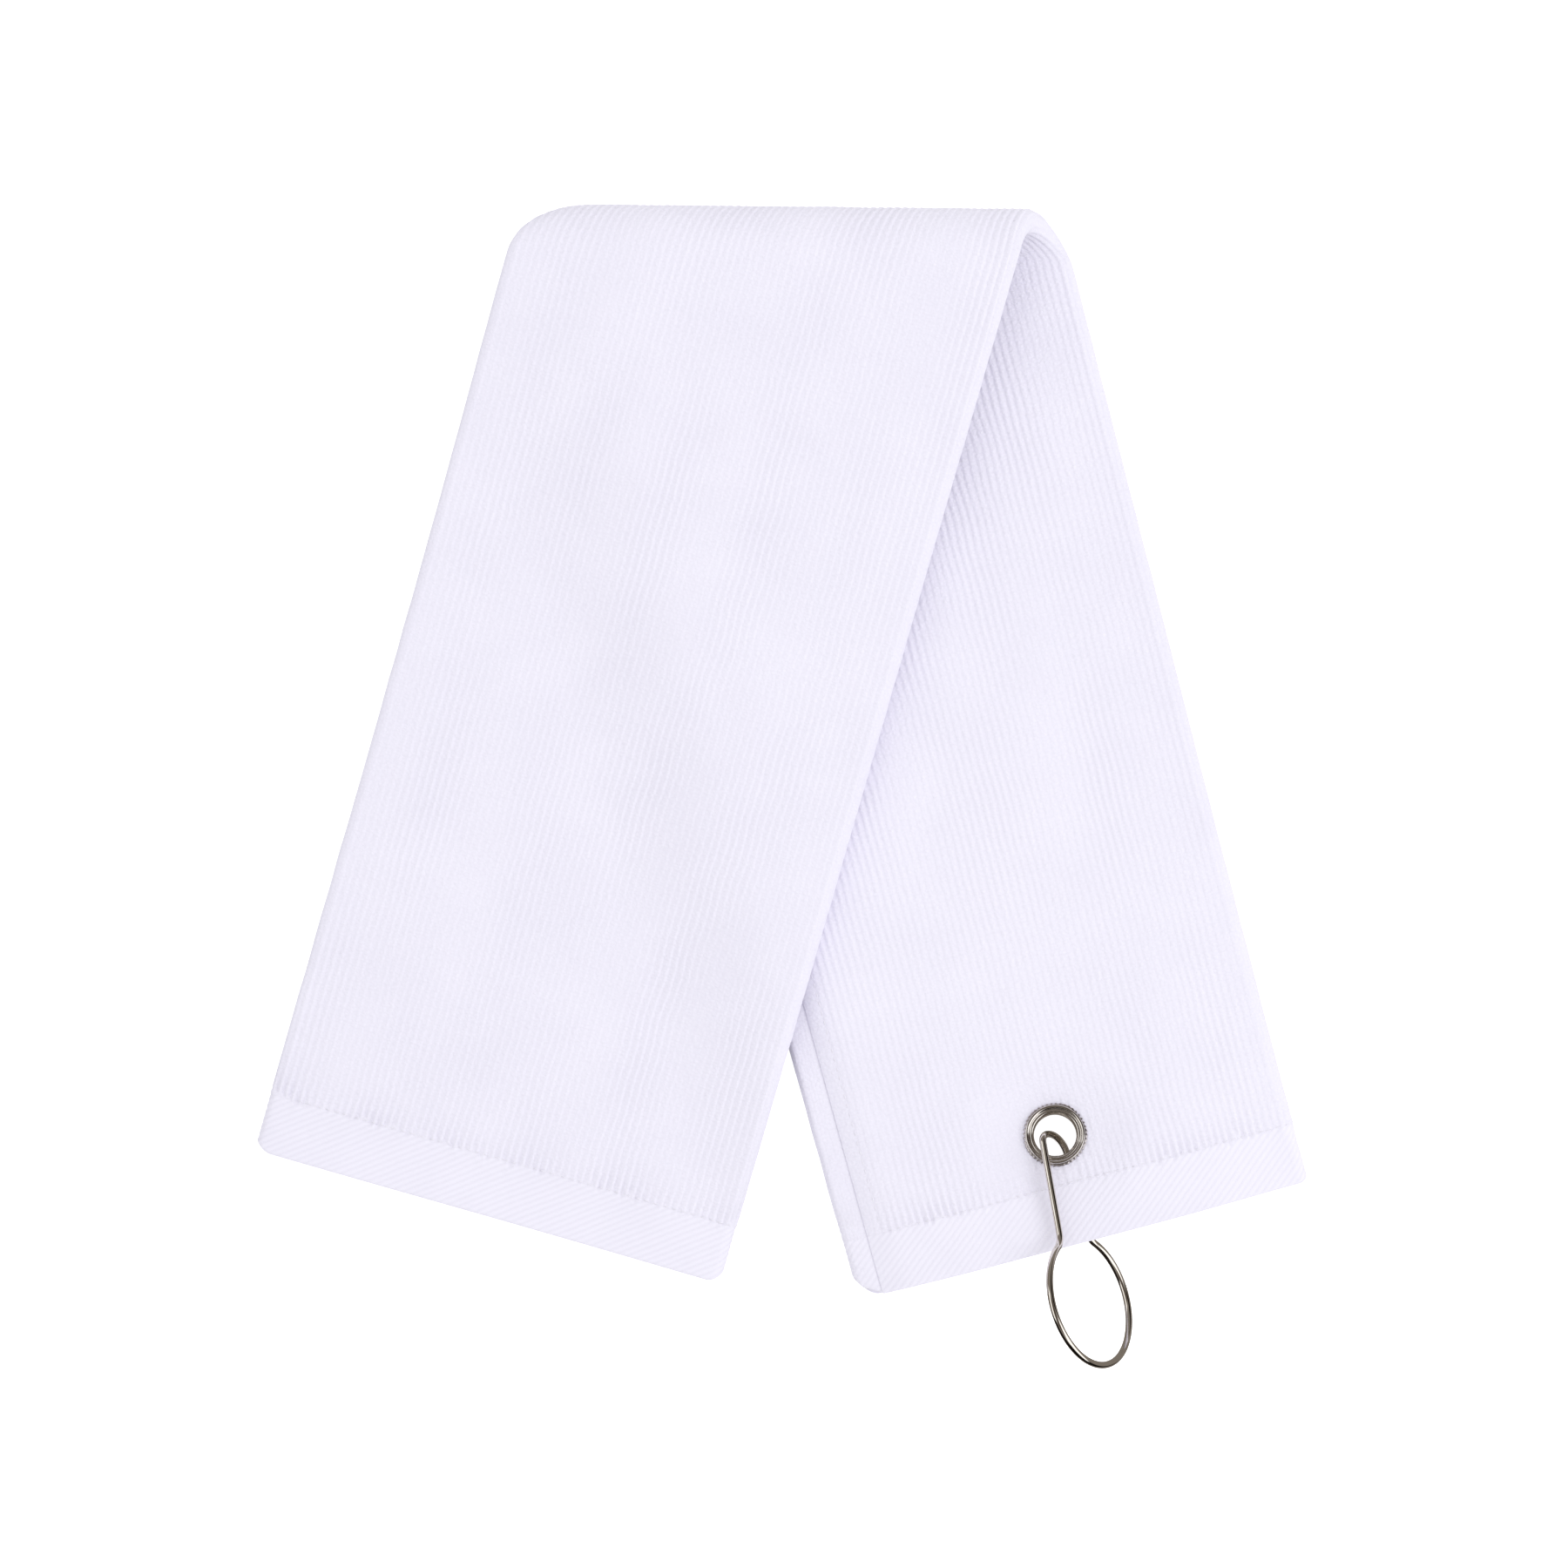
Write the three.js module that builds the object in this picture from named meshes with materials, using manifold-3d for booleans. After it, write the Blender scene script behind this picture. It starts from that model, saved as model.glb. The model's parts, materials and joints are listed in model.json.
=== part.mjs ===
// Golf towel: one ribbed cotton sheet folded in three lengthwise, then folded in half at a slant,
// with a two-part metal grommet through the three layers of one end and a bulb-shaped wire hook.
// Millimetres, +Z up. The towel lies flat: the lower leg rests on z = 0 and the upper leg is
// folded over it. The half-fold runs along X at the back, and both legs point towards -Y.
import * as THREE from 'three';
import { mergeVertices } from 'three/addons/utils/BufferGeometryUtils.js';
import Module from 'manifold-3d';

// ---- Cloth ----
const STRIP_WIDTH = 140;          // width after the sheet is folded in three
const GROMMET_END_WIDTH = 133;    // the grommet end is drawn in a little
const LOWER_LENGTH = 296;         // centre line, from the half-fold to the grommet end
const SHEET_LENGTH = 635;         // whole centre line, end to end
const LEG_ANGLE = THREE.MathUtils.degToRad(15.5);  // each leg's slant from the fold's normal
const LEG_START_X = 6.3;          // where the lower leg's centre line leaves the half-fold
const SHEET_THICKNESS = 2.3;
const LAYER_GAP = 0.25;           // air between two layers of the stack
const FLAP_SHORTFALL = 7.6;       // the top flap's free edge stops short of the left fold
const TUCK_SHORTFALL = 9;         // the tucked panel's free edge stops short of the right fold
const HEM_DEPTH = 17;             // from each end of the sheet to its seam
const FLAP_HEM_DEPTH = 5;         // from the flap's free edge to its seam
const LAYER_PITCH = SHEET_THICKNESS + LAYER_GAP;
const BOTTOM_LAYER = SHEET_THICKNESS / 2;
const MIDDLE_LAYER = BOTTOM_LAYER + LAYER_PITCH;
const TOP_LAYER = MIDDLE_LAYER + LAYER_PITCH;
const STACK = TOP_LAYER + SHEET_THICKNESS / 2;

// ---- Half-fold ----
const ROLL_RADIUS = 14.5;         // outer face of the rolled fold
const ROLL_ANGLE = THREE.MathUtils.degToRad(183.2);  // the upper leg slopes down by 3.2 degrees
const HINGE_COUNT = 4;
const HINGE_STEP = ROLL_ANGLE / HINGE_COUNT;
const SLICE_GAP = 0.5;            // between two slices of the roll, on its outer face
const ROLL_LENGTH = ROLL_RADIUS * ROLL_ANGLE;
const FREE_END_V = LOWER_LENGTH - SHEET_LENGTH;

// ---- Grommet end: lifted by the hook and squeezed by the grommet ----
const GROMMET_INSET = 31.4;       // grommet centre to the end of the strip
const GROMMET_HEIGHT = 6.9;       // grommet centre above the table
const END_SLOPE = THREE.MathUtils.degToRad(11.6);
const SLOPE_BLEND = 2.0;          // length over which the slope sets in
const CORNER_DROOP = 0.45;        // share of the lift that is lost at the two corners
const DROOP_START = 28;
const SQUEEZE = 0.36;             // stack thickness left under the grommet
const SQUEEZE_RADIUS = 11;
const LOFT_RADIUS = 27;           // the stack has its full thickness again from here
const HOLE_STOPS = [5.6, 11.2, 16, 21, 27];        // distances sampled on each side of the hole
const EDGE_STOPS = [36, 46];      // further samples across the strip
const FLAT_STOPS = [-30, 30];     // samples across the strip where it is plain
const FLAT_ROW = 130;             // a row halfway along each leg, from the half-fold

// ---- Grommet ----
const HOLE_RADIUS = 6.2;
const METAL = 0.4;
const BARREL_RADIUS = HOLE_RADIUS + METAL;
const CURL_RADIUS = 8.6;
const FLANGE_RADIUS = 9.4;
const WASHER_RADIUS = 9.45;
const TOOTH_COUNT = 44;
const TOOTH_HEIGHT = 0.3;
const CLEARANCE = 0.35;
const CURL_HEIGHT = 0.85;
const CURL_RISE = 0.9;            // lower edge of the curl above the squeezed cloth
const DOME_DEPTH = 1.0;
const SEAT_GAP = 0.3;             // flange and washer off the squeezed cloth
const WASHER_THICKNESS = 0.3;
const CLOTH_HOLE_RADIUS = BARREL_RADIUS + CLEARANCE;
const SQUEEZED_HALF = STACK * SQUEEZE / 2;

// ---- Hook, in its own plane: x towards the front leg, y towards the grommet ----
const WIRE_RADIUS = 1.0;
const RING_RADIUS = 19.0;
const FRONT_NECK_X = 6.5;
const REAR_NECK_X = -8.3;
const NECK_BEND = 2.4;            // length of the rounded corner on each side of a neck
const ARCH_FRONT = new THREE.Vector2(1.9, 47.5);
const ARCH_REAR = new THREE.Vector2(-8.8, 42.5);
const ARCH_FRONT_PULL = 4.1;
const ARCH_REAR_PULL = 7.5;
const HOOK_REACH = 49.0;          // ring centre to grommet centre, along the hook
const HOOK_SIDE = -3.0;           // hook axis beside the grommet's centre
const HOOK_RISE = 2.8;            // hook axis above the grommet's centre
const HOOK_PITCH = THREE.MathUtils.degToRad(8.7);
const HOOK_ROLL = THREE.MathUtils.degToRad(55.5);
const STUB_X = -8.5;              // the ring wire's free end, beside the latch arm
const STUB_TOP = 25;
const CATCH_OFFSET = 2 * WIRE_RADIUS + CLEARANCE;
const CATCH_LEAD = 5;             // the latch arm leaves the ring's plane this far above the stub
// The catch's way round the stub: out of the ring's plane and aside in catch offsets, down in mm.
const CATCH_CURL = [
  { out: 1.05, aside: 0, drop: -1.5 },
  { out: 1.15, aside: 0, drop: 2 },
  { out: 0.9, aside: 0.8, drop: 3.6 },
  { out: 0.05, aside: 1.15, drop: 4 },
];

// ---- Seams ----
const THREAD_RADIUS = 0.3;
const THREAD_GAP = 0.3;           // between the cords and the cloth
const SEAM_PITCH = 6;             // between two samples of an end seam
const SEAM_MARGIN = 3;            // an end seam's distance to folds and to the flap's seam
const FRONT_SEAM_START = -92;     // where the flap's seam leaves the half-fold's shadow

const COTTON = { color: 0xf2f0fa, roughness: 0.95, metalness: 0 };
const THREAD = { color: 0xf7f6fb, roughness: 0.8, metalness: 0 };
const NICKEL = { color: 0xb9b2a8, roughness: 0.16, metalness: 1 };

const lerp = THREE.MathUtils.lerp;
const smooth = THREE.MathUtils.smoothstep;

// The flat sheet's plan: u across the strip, v along its centre line towards the grommet end.
const planX = (u, v) => LEG_START_X + v * Math.sin(LEG_ANGLE) + u * Math.cos(LEG_ANGLE);
const planY = (u, v) => u * Math.sin(LEG_ANGLE) - v * Math.cos(LEG_ANGLE);
const vAtLine = (u, y) => (u * Math.sin(LEG_ANGLE) - y) / Math.cos(LEG_ANGLE);

const GROMMET_V = LOWER_LENGTH - GROMMET_INSET;
const SLOPE_START = GROMMET_V - (GROMMET_HEIGHT - MIDDLE_LAYER) / Math.tan(END_SLOPE);

function halfWidth(v) {
  const share = THREE.MathUtils.clamp(v / LOWER_LENGTH, 0, 1);
  return lerp(STRIP_WIDTH, GROMMET_END_WIDTH, share) / 2;
}

/** How far the grommet end is lifted off the table. */
function lift(u, v) {
  const slope = Math.tan(END_SLOPE) * SLOPE_BLEND * Math.log1p(Math.exp((v - SLOPE_START) / SLOPE_BLEND));
  return slope * (1 - CORNER_DROOP * smooth(Math.abs(u), DROOP_START, halfWidth(v)));
}

/** Share of the stack's thickness that is left near the grommet. */
function squeeze(u, v) {
  const distance = Math.hypot(u, v - GROMMET_V);
  return lerp(SQUEEZE, 1, smooth(distance, SQUEEZE_RADIUS, LOFT_RADIUS));
}

/** Rolls the flat pattern up: the lower leg stays flat, the rest wraps round the half-fold. */
function foldPoint(x, y, n) {
  const radius = ROLL_RADIUS - n;
  const angle = THREE.MathUtils.clamp(y / ROLL_RADIUS, 0, ROLL_ANGLE);
  const straight = y - angle * ROLL_RADIUS;
  return new THREE.Vector3(
    x,
    Math.sin(angle) * radius + Math.cos(angle) * straight,
    ROLL_RADIUS - Math.cos(angle) * radius + Math.sin(angle) * straight,
  );
}

/** A point of the folded towel: n is the height in the stack, standOff the distance off its face. */
function clothPoint(u, v, n, standOff = 0) {
  const height = MIDDLE_LAYER + (n - MIDDLE_LAYER) * squeeze(u, v) + lift(u, v) + standOff;
  return foldPoint(planX(u, v), planY(u, v), height);
}

/** The sheet's path across the strip, as samples of place (u, n) and of the face's normal. */
function stripSection(half, stops) {
  const samples = [];
  const add = (u, n, du, dn) => samples.push({ u, n, du, dn });
  const innerRadius = LAYER_PITCH / 2;
  const leftFold = innerRadius + SHEET_THICKNESS / 2 - half;
  const outerRadius = LAYER_PITCH;
  const rightFold = half - outerRadius - SHEET_THICKNESS / 2;
  const backwards = [...stops].reverse();
  add(half - TUCK_SHORTFALL, MIDDLE_LAYER, 0, 1);
  backwards.forEach((u) => add(u, MIDDLE_LAYER, 0, 1));
  for (let step = 0; step <= 4; step += 1) {
    const angle = Math.PI * (0.5 + step / 4);
    const [c, s] = [Math.cos(angle), Math.sin(angle)];
    add(leftFold + innerRadius * c, BOTTOM_LAYER + innerRadius + innerRadius * s, c, s);
  }
  stops.forEach((u) => add(u, BOTTOM_LAYER, 0, -1));
  for (let step = 0; step <= 6; step += 1) {
    const angle = Math.PI * (step / 6 - 0.5);
    const [c, s] = [Math.cos(angle), Math.sin(angle)];
    add(rightFold + outerRadius * c, MIDDLE_LAYER + outerRadius * s, c, s);
  }
  backwards.forEach((u) => add(u, TOP_LAYER, 0, 1));
  add(FLAP_SHORTFALL - half, TOP_LAYER, 0, 1);
  return samples;
}

/** A closed solid between two grids of points: side 0 and side 1, rows by columns. */
function sheetSolid(rows, columns, pointAt) {
  const positions = [];
  for (let side = 0; side < 2; side += 1) {
    for (let row = 0; row < rows; row += 1) {
      for (let column = 0; column < columns; column += 1) {
        positions.push(...pointAt(row, column, side).toArray());
      }
    }
  }
  const id = (row, column, side) => (side * rows + row) * columns + column;
  const index = [];
  const quad = (a, b, c, d) => index.push(a, b, c, a, c, d);
  for (let row = 0; row < rows - 1; row += 1) {
    for (let column = 0; column < columns - 1; column += 1) {
      quad(id(row, column, 1), id(row, column + 1, 1), id(row + 1, column + 1, 1), id(row + 1, column, 1));
      quad(id(row, column, 0), id(row + 1, column, 0), id(row + 1, column + 1, 0), id(row, column + 1, 0));
    }
    quad(id(row, 0, 0), id(row, 0, 1), id(row + 1, 0, 1), id(row + 1, 0, 0));
    const last = columns - 1;
    quad(id(row, last, 0), id(row + 1, last, 0), id(row + 1, last, 1), id(row, last, 1));
  }
  for (let column = 0; column < columns - 1; column += 1) {
    quad(id(0, column, 0), id(0, column + 1, 0), id(0, column + 1, 1), id(0, column, 1));
    const last = rows - 1;
    quad(id(last, column, 0), id(last, column, 1), id(last, column + 1, 1), id(last, column + 1, 0));
  }
  const geometry = new THREE.BufferGeometry();
  geometry.setAttribute('position', new THREE.Float32BufferAttribute(positions, 3));
  geometry.setIndex(index);
  return faceOutwards(geometry);
}

/** Turns every triangle over when the closed surface is inside out. */
function faceOutwards(geometry) {
  const position = geometry.getAttribute('position');
  const index = geometry.getIndex().array;
  const corners = [new THREE.Vector3(), new THREE.Vector3(), new THREE.Vector3()];
  let volume = 0;
  for (let start = 0; start < index.length; start += 3) {
    corners.forEach((corner, k) => corner.fromBufferAttribute(position, index[start + k]));
    volume += corners[0].dot(corners[1].clone().cross(corners[2])) / 6;
  }
  if (volume < 0) {
    for (let start = 0; start < index.length; start += 3) {
      [index[start + 1], index[start + 2]] = [index[start + 2], index[start + 1]];
    }
  }
  geometry.computeVertexNormals();
  return geometry;
}

// A row of a cloth solid runs either straight across the strip or along a line parallel to the fold.
const across = (v) => () => v;
const alongLine = (y) => (u) => vAtLine(u, y);

/** One stretch of the folded sheet, through the given rows, sampled at the given stops across. */
function clothSolid(rows, stops) {
  return sheetSolid(rows.length, stripSection(1, stops).length, (row, column, side) => {
    // The row's width is taken where the sample lies, so that the strip tapers evenly.
    const roughV = rows[row](stripSection(STRIP_WIDTH / 2, stops)[column].u);
    const sample = stripSection(halfWidth(roughV), stops)[column];
    const half = (side - 0.5) * SHEET_THICKNESS;
    const u = sample.u + sample.du * half;
    return clothPoint(u, rows[row](u), sample.n + sample.dn * half);
  });
}

const hingeLine = (number) => (number - 0.5) * HINGE_STEP * ROLL_RADIUS;

/** Rows for the roll between two hinges, held back from each by half the gap. */
function rollRows(from, to, steps) {
  const rows = [];
  for (let step = 0; step <= steps; step += 1) {
    rows.push(alongLine(lerp(from + SLICE_GAP / 2, to - SLICE_GAP / 2, step / steps)));
  }
  return rows;
}

function makeCloth(name, geometry) {
  const mesh = new THREE.Mesh(geometry, new THREE.MeshStandardMaterial(COTTON));
  mesh.name = name;
  return mesh;
}

// ---- Grommet's own frame: x across the strip, y towards the fold, z out of the flap's face ----
const acrossStrip = new THREE.Vector3(Math.cos(LEG_ANGLE), Math.sin(LEG_ANGLE), 0);
const towardsFold = (pitch) => new THREE.Vector3(
  -Math.sin(LEG_ANGLE) * Math.cos(pitch),
  Math.cos(LEG_ANGLE) * Math.cos(pitch),
  -Math.sin(pitch),
);
const grommetY = towardsFold(END_SLOPE);
const grommetZ = acrossStrip.clone().cross(grommetY);
const grommetCentre = new THREE.Vector3(planX(0, GROMMET_V), planY(0, GROMMET_V), GROMMET_HEIGHT);
const grommetFrame = new THREE.Matrix4()
  .makeBasis(acrossStrip, grommetY, grommetZ)
  .setPosition(grommetCentre);

function solidOf(wasm, geometry) {
  const bare = geometry.clone();
  bare.deleteAttribute('normal');
  bare.deleteAttribute('uv');
  const merged = mergeVertices(bare);
  return new wasm.Manifold(new wasm.Mesh({
    numProp: 3,
    vertProperties: new Float32Array(merged.getAttribute('position').array),
    triVerts: new Uint32Array(merged.getIndex().array),
  }));
}

function geometryOf(solid) {
  const mesh = solid.getMesh();
  const geometry = new THREE.BufferGeometry();
  geometry.setAttribute('position', new THREE.BufferAttribute(mesh.vertProperties, 3));
  geometry.setIndex(new THREE.BufferAttribute(mesh.triVerts, 1));
  geometry.computeVertexNormals();
  return geometry;
}

/** The lower leg: dense rows round the grommet, then three long ones and the start of the roll. */
function makeBackPanel(wasm) {
  const rightStops = [...HOLE_STOPS, ...EDGE_STOPS];
  const stops = [...rightStops.map((u) => -u).reverse(), 0, ...rightStops];
  const nearGrommet = [...HOLE_STOPS.map((v) => -v).reverse(), 0, ...HOLE_STOPS.slice(0, -1)];
  const rows = [across(LOWER_LENGTH)];
  nearGrommet.reverse().forEach((distance) => rows.push(across(GROMMET_V + distance)));
  rows.push(across(GROMMET_V - EDGE_STOPS[1]), alongLine(-FLAT_ROW));
  const rollEnd = hingeLine(1) - SLICE_GAP / 2;
  [0, 1 / 3, 2 / 3, 1].forEach((share) => rows.push(alongLine(share * rollEnd)));
  const hole = new THREE.CylinderGeometry(CLOTH_HOLE_RADIUS, CLOTH_HOLE_RADIUS, 2 * STACK, 40);
  hole.rotateX(Math.PI / 2);
  hole.applyMatrix4(grommetFrame);
  const panel = solidOf(wasm, clothSolid(rows, stops)).subtract(solidOf(wasm, hole));
  return makeCloth('back_panel', geometryOf(panel));
}

function makeRollSlice(name, number) {
  const rows = rollRows(hingeLine(number), hingeLine(number + 1), 4);
  return makeCloth(name, clothSolid(rows, FLAT_STOPS));
}

/** The upper leg: the end of the roll, then straight to the far end of the sheet. */
function makeFrontPanel() {
  const rows = rollRows(hingeLine(HINGE_COUNT), ROLL_LENGTH + SLICE_GAP / 2, 3);
  rows.push(alongLine(ROLL_LENGTH + FLAT_ROW), across(FREE_END_V + EDGE_STOPS[0]));
  rows.push(across(FREE_END_V));
  return makeCloth('front_panel', clothSolid(rows, FLAT_STOPS));
}

/** A round wire or thread along a curve, with closed ends. */
function wireGeometry(path, radius, steps, halfSides) {
  const section = new THREE.Shape();
  section.absarc(0, 0, radius, 0, 2 * Math.PI);
  return new THREE.ExtrudeGeometry(section, {
    steps,
    curveSegments: halfSides,
    extrudePath: path,
    bevelEnabled: false,
  });
}

function makeThread(name, points, steps) {
  const path = new THREE.CatmullRomCurve3(points, false, 'centripetal');
  const mesh = new THREE.Mesh(
    wireGeometry(path, THREAD_RADIUS, steps, 3),
    new THREE.MeshStandardMaterial(THREAD),
  );
  mesh.name = name;
  return mesh;
}

/** A seam straight across the strip: under the bottom panel, round the right fold, over the flap. */
function makeEndHemThread(name, v) {
  const half = halfWidth(v);
  const standOff = THREAD_RADIUS + THREAD_GAP;
  const turnU = half - LAYER_PITCH - SHEET_THICKNESS / 2;
  const turnRadius = LAYER_PITCH + SHEET_THICKNESS / 2 + standOff;
  const points = [];
  for (let u = FLAP_HEM_DEPTH - half; u < turnU - SEAM_MARGIN; u += SEAM_PITCH) {
    points.push(clothPoint(u, v, 0, -standOff));
  }
  for (let step = 0; step <= 6; step += 1) {
    const angle = Math.PI * (step / 6 - 0.5);
    const n = MIDDLE_LAYER + turnRadius * Math.sin(angle);
    points.push(clothPoint(turnU + turnRadius * Math.cos(angle), v, n));
  }
  for (let u = turnU - SEAM_PITCH; u > FLAP_SHORTFALL + SEAM_MARGIN - half; u -= SEAM_PITCH) {
    points.push(clothPoint(u, v, STACK, standOff));
  }
  return makeThread(name, points, 70);
}

/** The seam along the flap's free edge, on one leg. */
function makeFlapHemThread(name, fromV, toV, steps) {
  const points = [];
  for (let step = 0; step <= steps; step += 1) {
    const v = lerp(fromV, toV, step / steps);
    const u = FLAP_SHORTFALL + FLAP_HEM_DEPTH - halfWidth(v);
    points.push(clothPoint(u, v, STACK, THREAD_RADIUS + THREAD_GAP));
  }
  return makeThread(name, points, 2 * steps);
}

function makeMetal(name, geometry) {
  const mesh = new THREE.Mesh(geometry, new THREE.MeshStandardMaterial(NICKEL));
  mesh.name = name;
  return mesh;
}

/** Half an ellipse in the lathe's profile plane, from one angle to another. */
function ellipseArc(centreR, centreZ, radiusR, radiusZ, from, to, steps) {
  const points = [];
  for (let step = 0; step <= steps; step += 1) {
    const angle = THREE.MathUtils.degToRad(lerp(from, to, step / steps));
    points.push(new THREE.Vector2(
      centreR + radiusR * Math.cos(angle),
      centreZ + radiusZ * Math.sin(angle),
    ));
  }
  return points;
}

/** The eyelet: a domed flange under the cloth, a barrel, and an edge curled over the washer. */
function makeEyelet() {
  const curlCentre = (HOLE_RADIUS + CURL_RADIUS) / 2;
  const curlHalf = (CURL_RADIUS - HOLE_RADIUS) / 2;
  const curlEdge = SQUEEZED_HALF + CURL_RISE;
  const domeCentre = (HOLE_RADIUS + FLANGE_RADIUS) / 2;
  const domeHalf = (FLANGE_RADIUS - HOLE_RADIUS) / 2;
  const domeEdge = -SQUEEZED_HALF - SEAT_GAP;
  const profile = [
    ...ellipseArc(curlCentre, curlEdge, curlHalf, CURL_HEIGHT, 0, 180, 6),
    ...ellipseArc(domeCentre, domeEdge, domeHalf, DOME_DEPTH, 180, 360, 6),
    ...ellipseArc(domeCentre, domeEdge, domeHalf - METAL, DOME_DEPTH - METAL, 360, 180, 6),
    ...ellipseArc(curlCentre, curlEdge, curlHalf - METAL, CURL_HEIGHT - METAL, 180, 0, 6),
  ];
  profile.push(profile[0].clone());
  const geometry = new THREE.LatheGeometry(profile, 36);
  geometry.rotateX(Math.PI / 2);
  return makeMetal('grommet_eyelet', geometry);
}

/** The washer that the barrel is curled over, with small teeth round its edge. */
function makeWasher() {
  const outline = new THREE.Shape();
  for (let k = 0; k < 2 * TOOTH_COUNT; k += 1) {
    const angle = Math.PI * k / TOOTH_COUNT;
    const radius = WASHER_RADIUS - (k % 2) * TOOTH_HEIGHT;
    const [x, y] = [radius * Math.cos(angle), radius * Math.sin(angle)];
    if (k === 0) outline.moveTo(x, y);
    else outline.lineTo(x, y);
  }
  const bore = new THREE.Path();
  bore.absarc(0, 0, BARREL_RADIUS + CLEARANCE, 0, 2 * Math.PI, true);
  outline.holes.push(bore);
  const geometry = new THREE.ExtrudeGeometry(outline, {
    depth: WASHER_THICKNESS,
    bevelEnabled: false,
    curveSegments: 18,
  });
  geometry.translate(0, 0, SQUEEZED_HALF + SEAT_GAP);
  return makeMetal('grommet_washer', geometry);
}

function makeGrommet() {
  const grommet = new THREE.Group();
  grommet.applyMatrix4(grommetFrame);
  grommet.add(makeEyelet(), makeWasher());
  return grommet;
}

// ---- Hook ----
const inPlane = (point, z = 0) => new THREE.Vector3(point.x, point.y, z);
const ringPoint = (degrees, radius = RING_RADIUS) => new THREE.Vector2(
  radius * Math.cos(THREE.MathUtils.degToRad(degrees)),
  radius * Math.sin(THREE.MathUtils.degToRad(degrees)),
);
const neckPoint = (x) => new THREE.Vector2(x, Math.sqrt(RING_RADIUS ** 2 - x ** 2));

/** The corner where a leg meets the ring, rounded from the leg's side to the ring's side. */
function neckBend(neck, legTop, ringSide) {
  const direction = legTop.clone().sub(neck).normalize();
  const neckAngle = THREE.MathUtils.radToDeg(neck.angle());
  const onLeg = neck.clone().addScaledVector(direction, NECK_BEND);
  const ringAngle = neckAngle + ringSide * THREE.MathUtils.radToDeg(NECK_BEND / RING_RADIUS);
  return { direction, onLeg, ringAngle };
}

/** Rear stub, ring, front leg and arch in one wire, up to the back of the grommet. */
function makeHookWire() {
  const rearNeck = neckPoint(REAR_NECK_X);
  const frontNeck = neckPoint(FRONT_NECK_X);
  const stubTop = new THREE.Vector2(STUB_X, STUB_TOP);
  const rear = neckBend(rearNeck, stubTop, 1);
  const front = neckBend(frontNeck, ARCH_FRONT, -1);
  const ringArc = [];
  const ringSteps = 44;
  for (let step = 0; step <= ringSteps; step += 1) {
    ringArc.push(inPlane(ringPoint(lerp(rear.ringAngle, 360 + front.ringAngle, step / ringSteps))));
  }
  const path = new THREE.CurvePath();
  path.add(new THREE.LineCurve3(inPlane(stubTop), inPlane(rear.onLeg)));
  path.add(new THREE.QuadraticBezierCurve3(inPlane(rear.onLeg), inPlane(rearNeck), ringArc[0]));
  path.add(new THREE.CatmullRomCurve3(ringArc, false, 'centripetal'));
  path.add(new THREE.QuadraticBezierCurve3(
    ringArc[ringSteps],
    inPlane(frontNeck),
    inPlane(front.onLeg),
  ));
  path.add(new THREE.LineCurve3(inPlane(front.onLeg), inPlane(ARCH_FRONT)));
  path.add(new THREE.CubicBezierCurve3(
    inPlane(ARCH_FRONT),
    inPlane(ARCH_FRONT.clone().addScaledVector(front.direction, ARCH_FRONT_PULL)),
    inPlane(ARCH_REAR.clone().add(new THREE.Vector2(0, ARCH_REAR_PULL))),
    inPlane(ARCH_REAR),
  ));
  return makeMetal('hook_wire', wireGeometry(path, WIRE_RADIUS, 110, 5));
}

/** The springy rear leg, from behind the grommet to the small catch round the ring wire's stub. */
function makeLatchArm() {
  const top = new THREE.Vector3(ARCH_REAR.x, ARCH_REAR.y - CLEARANCE, 0);
  const catchTop = new THREE.Vector3(STUB_X, STUB_TOP + CATCH_LEAD, 0);
  const path = new THREE.CatmullRomCurve3([
    top,
    top.clone().lerp(catchTop, 0.35),
    top.clone().lerp(catchTop, 0.7),
    catchTop,
    ...CATCH_CURL.map(({ out, aside, drop }) => new THREE.Vector3(
      STUB_X - aside * CATCH_OFFSET,
      STUB_TOP - drop,
      out * CATCH_OFFSET,
    )),
  ], false, 'centripetal');
  return makeMetal('hook_latch_arm', wireGeometry(path, WIRE_RADIUS, 40, 5));
}

function makeHook() {
  const hookY = towardsFold(HOOK_PITCH);
  const hookNormal = acrossStrip.clone().cross(hookY);
  const hookX = acrossStrip.clone().multiplyScalar(-Math.cos(HOOK_ROLL))
    .addScaledVector(hookNormal, Math.sin(HOOK_ROLL));
  const ringCentre = grommetCentre.clone()
    .addScaledVector(acrossStrip, HOOK_SIDE)
    .addScaledVector(grommetZ, HOOK_RISE)
    .addScaledVector(hookY, -HOOK_REACH);
  const hook = new THREE.Group();
  const frame = new THREE.Matrix4().makeBasis(hookX, hookY, hookX.clone().cross(hookY));
  hook.applyMatrix4(frame.setPosition(ringCentre));
  hook.add(makeHookWire(), makeLatchArm());
  return hook;
}

const wasm = await Module();
wasm.setup();

const towel = new THREE.Group();
towel.add(
  makeBackPanel(wasm),
  makeRollSlice('fold_lower', 1),
  makeRollSlice('fold_middle', 2),
  makeRollSlice('fold_upper', 3),
  makeFrontPanel(),
  makeEndHemThread('grommet_end_hem_thread', LOWER_LENGTH - HEM_DEPTH),
  makeEndHemThread('free_end_hem_thread', FREE_END_V + HEM_DEPTH),
  makeFlapHemThread('flap_hem_thread_back', LOWER_LENGTH - HEM_DEPTH - SEAM_MARGIN, 0, 24),
  makeFlapHemThread('flap_hem_thread_front', FRONT_SEAM_START, FREE_END_V + HEM_DEPTH + SEAM_MARGIN, 12),
  makeGrommet(),
  makeHook(),
);

// The origin is the middle of the towel's footprint, on the table.
const footprint = new THREE.Box3().setFromObject(towel).getCenter(new THREE.Vector3());
towel.position.set(-footprint.x, -footprint.y, 0);
towel.updateMatrixWorld(true);

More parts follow.
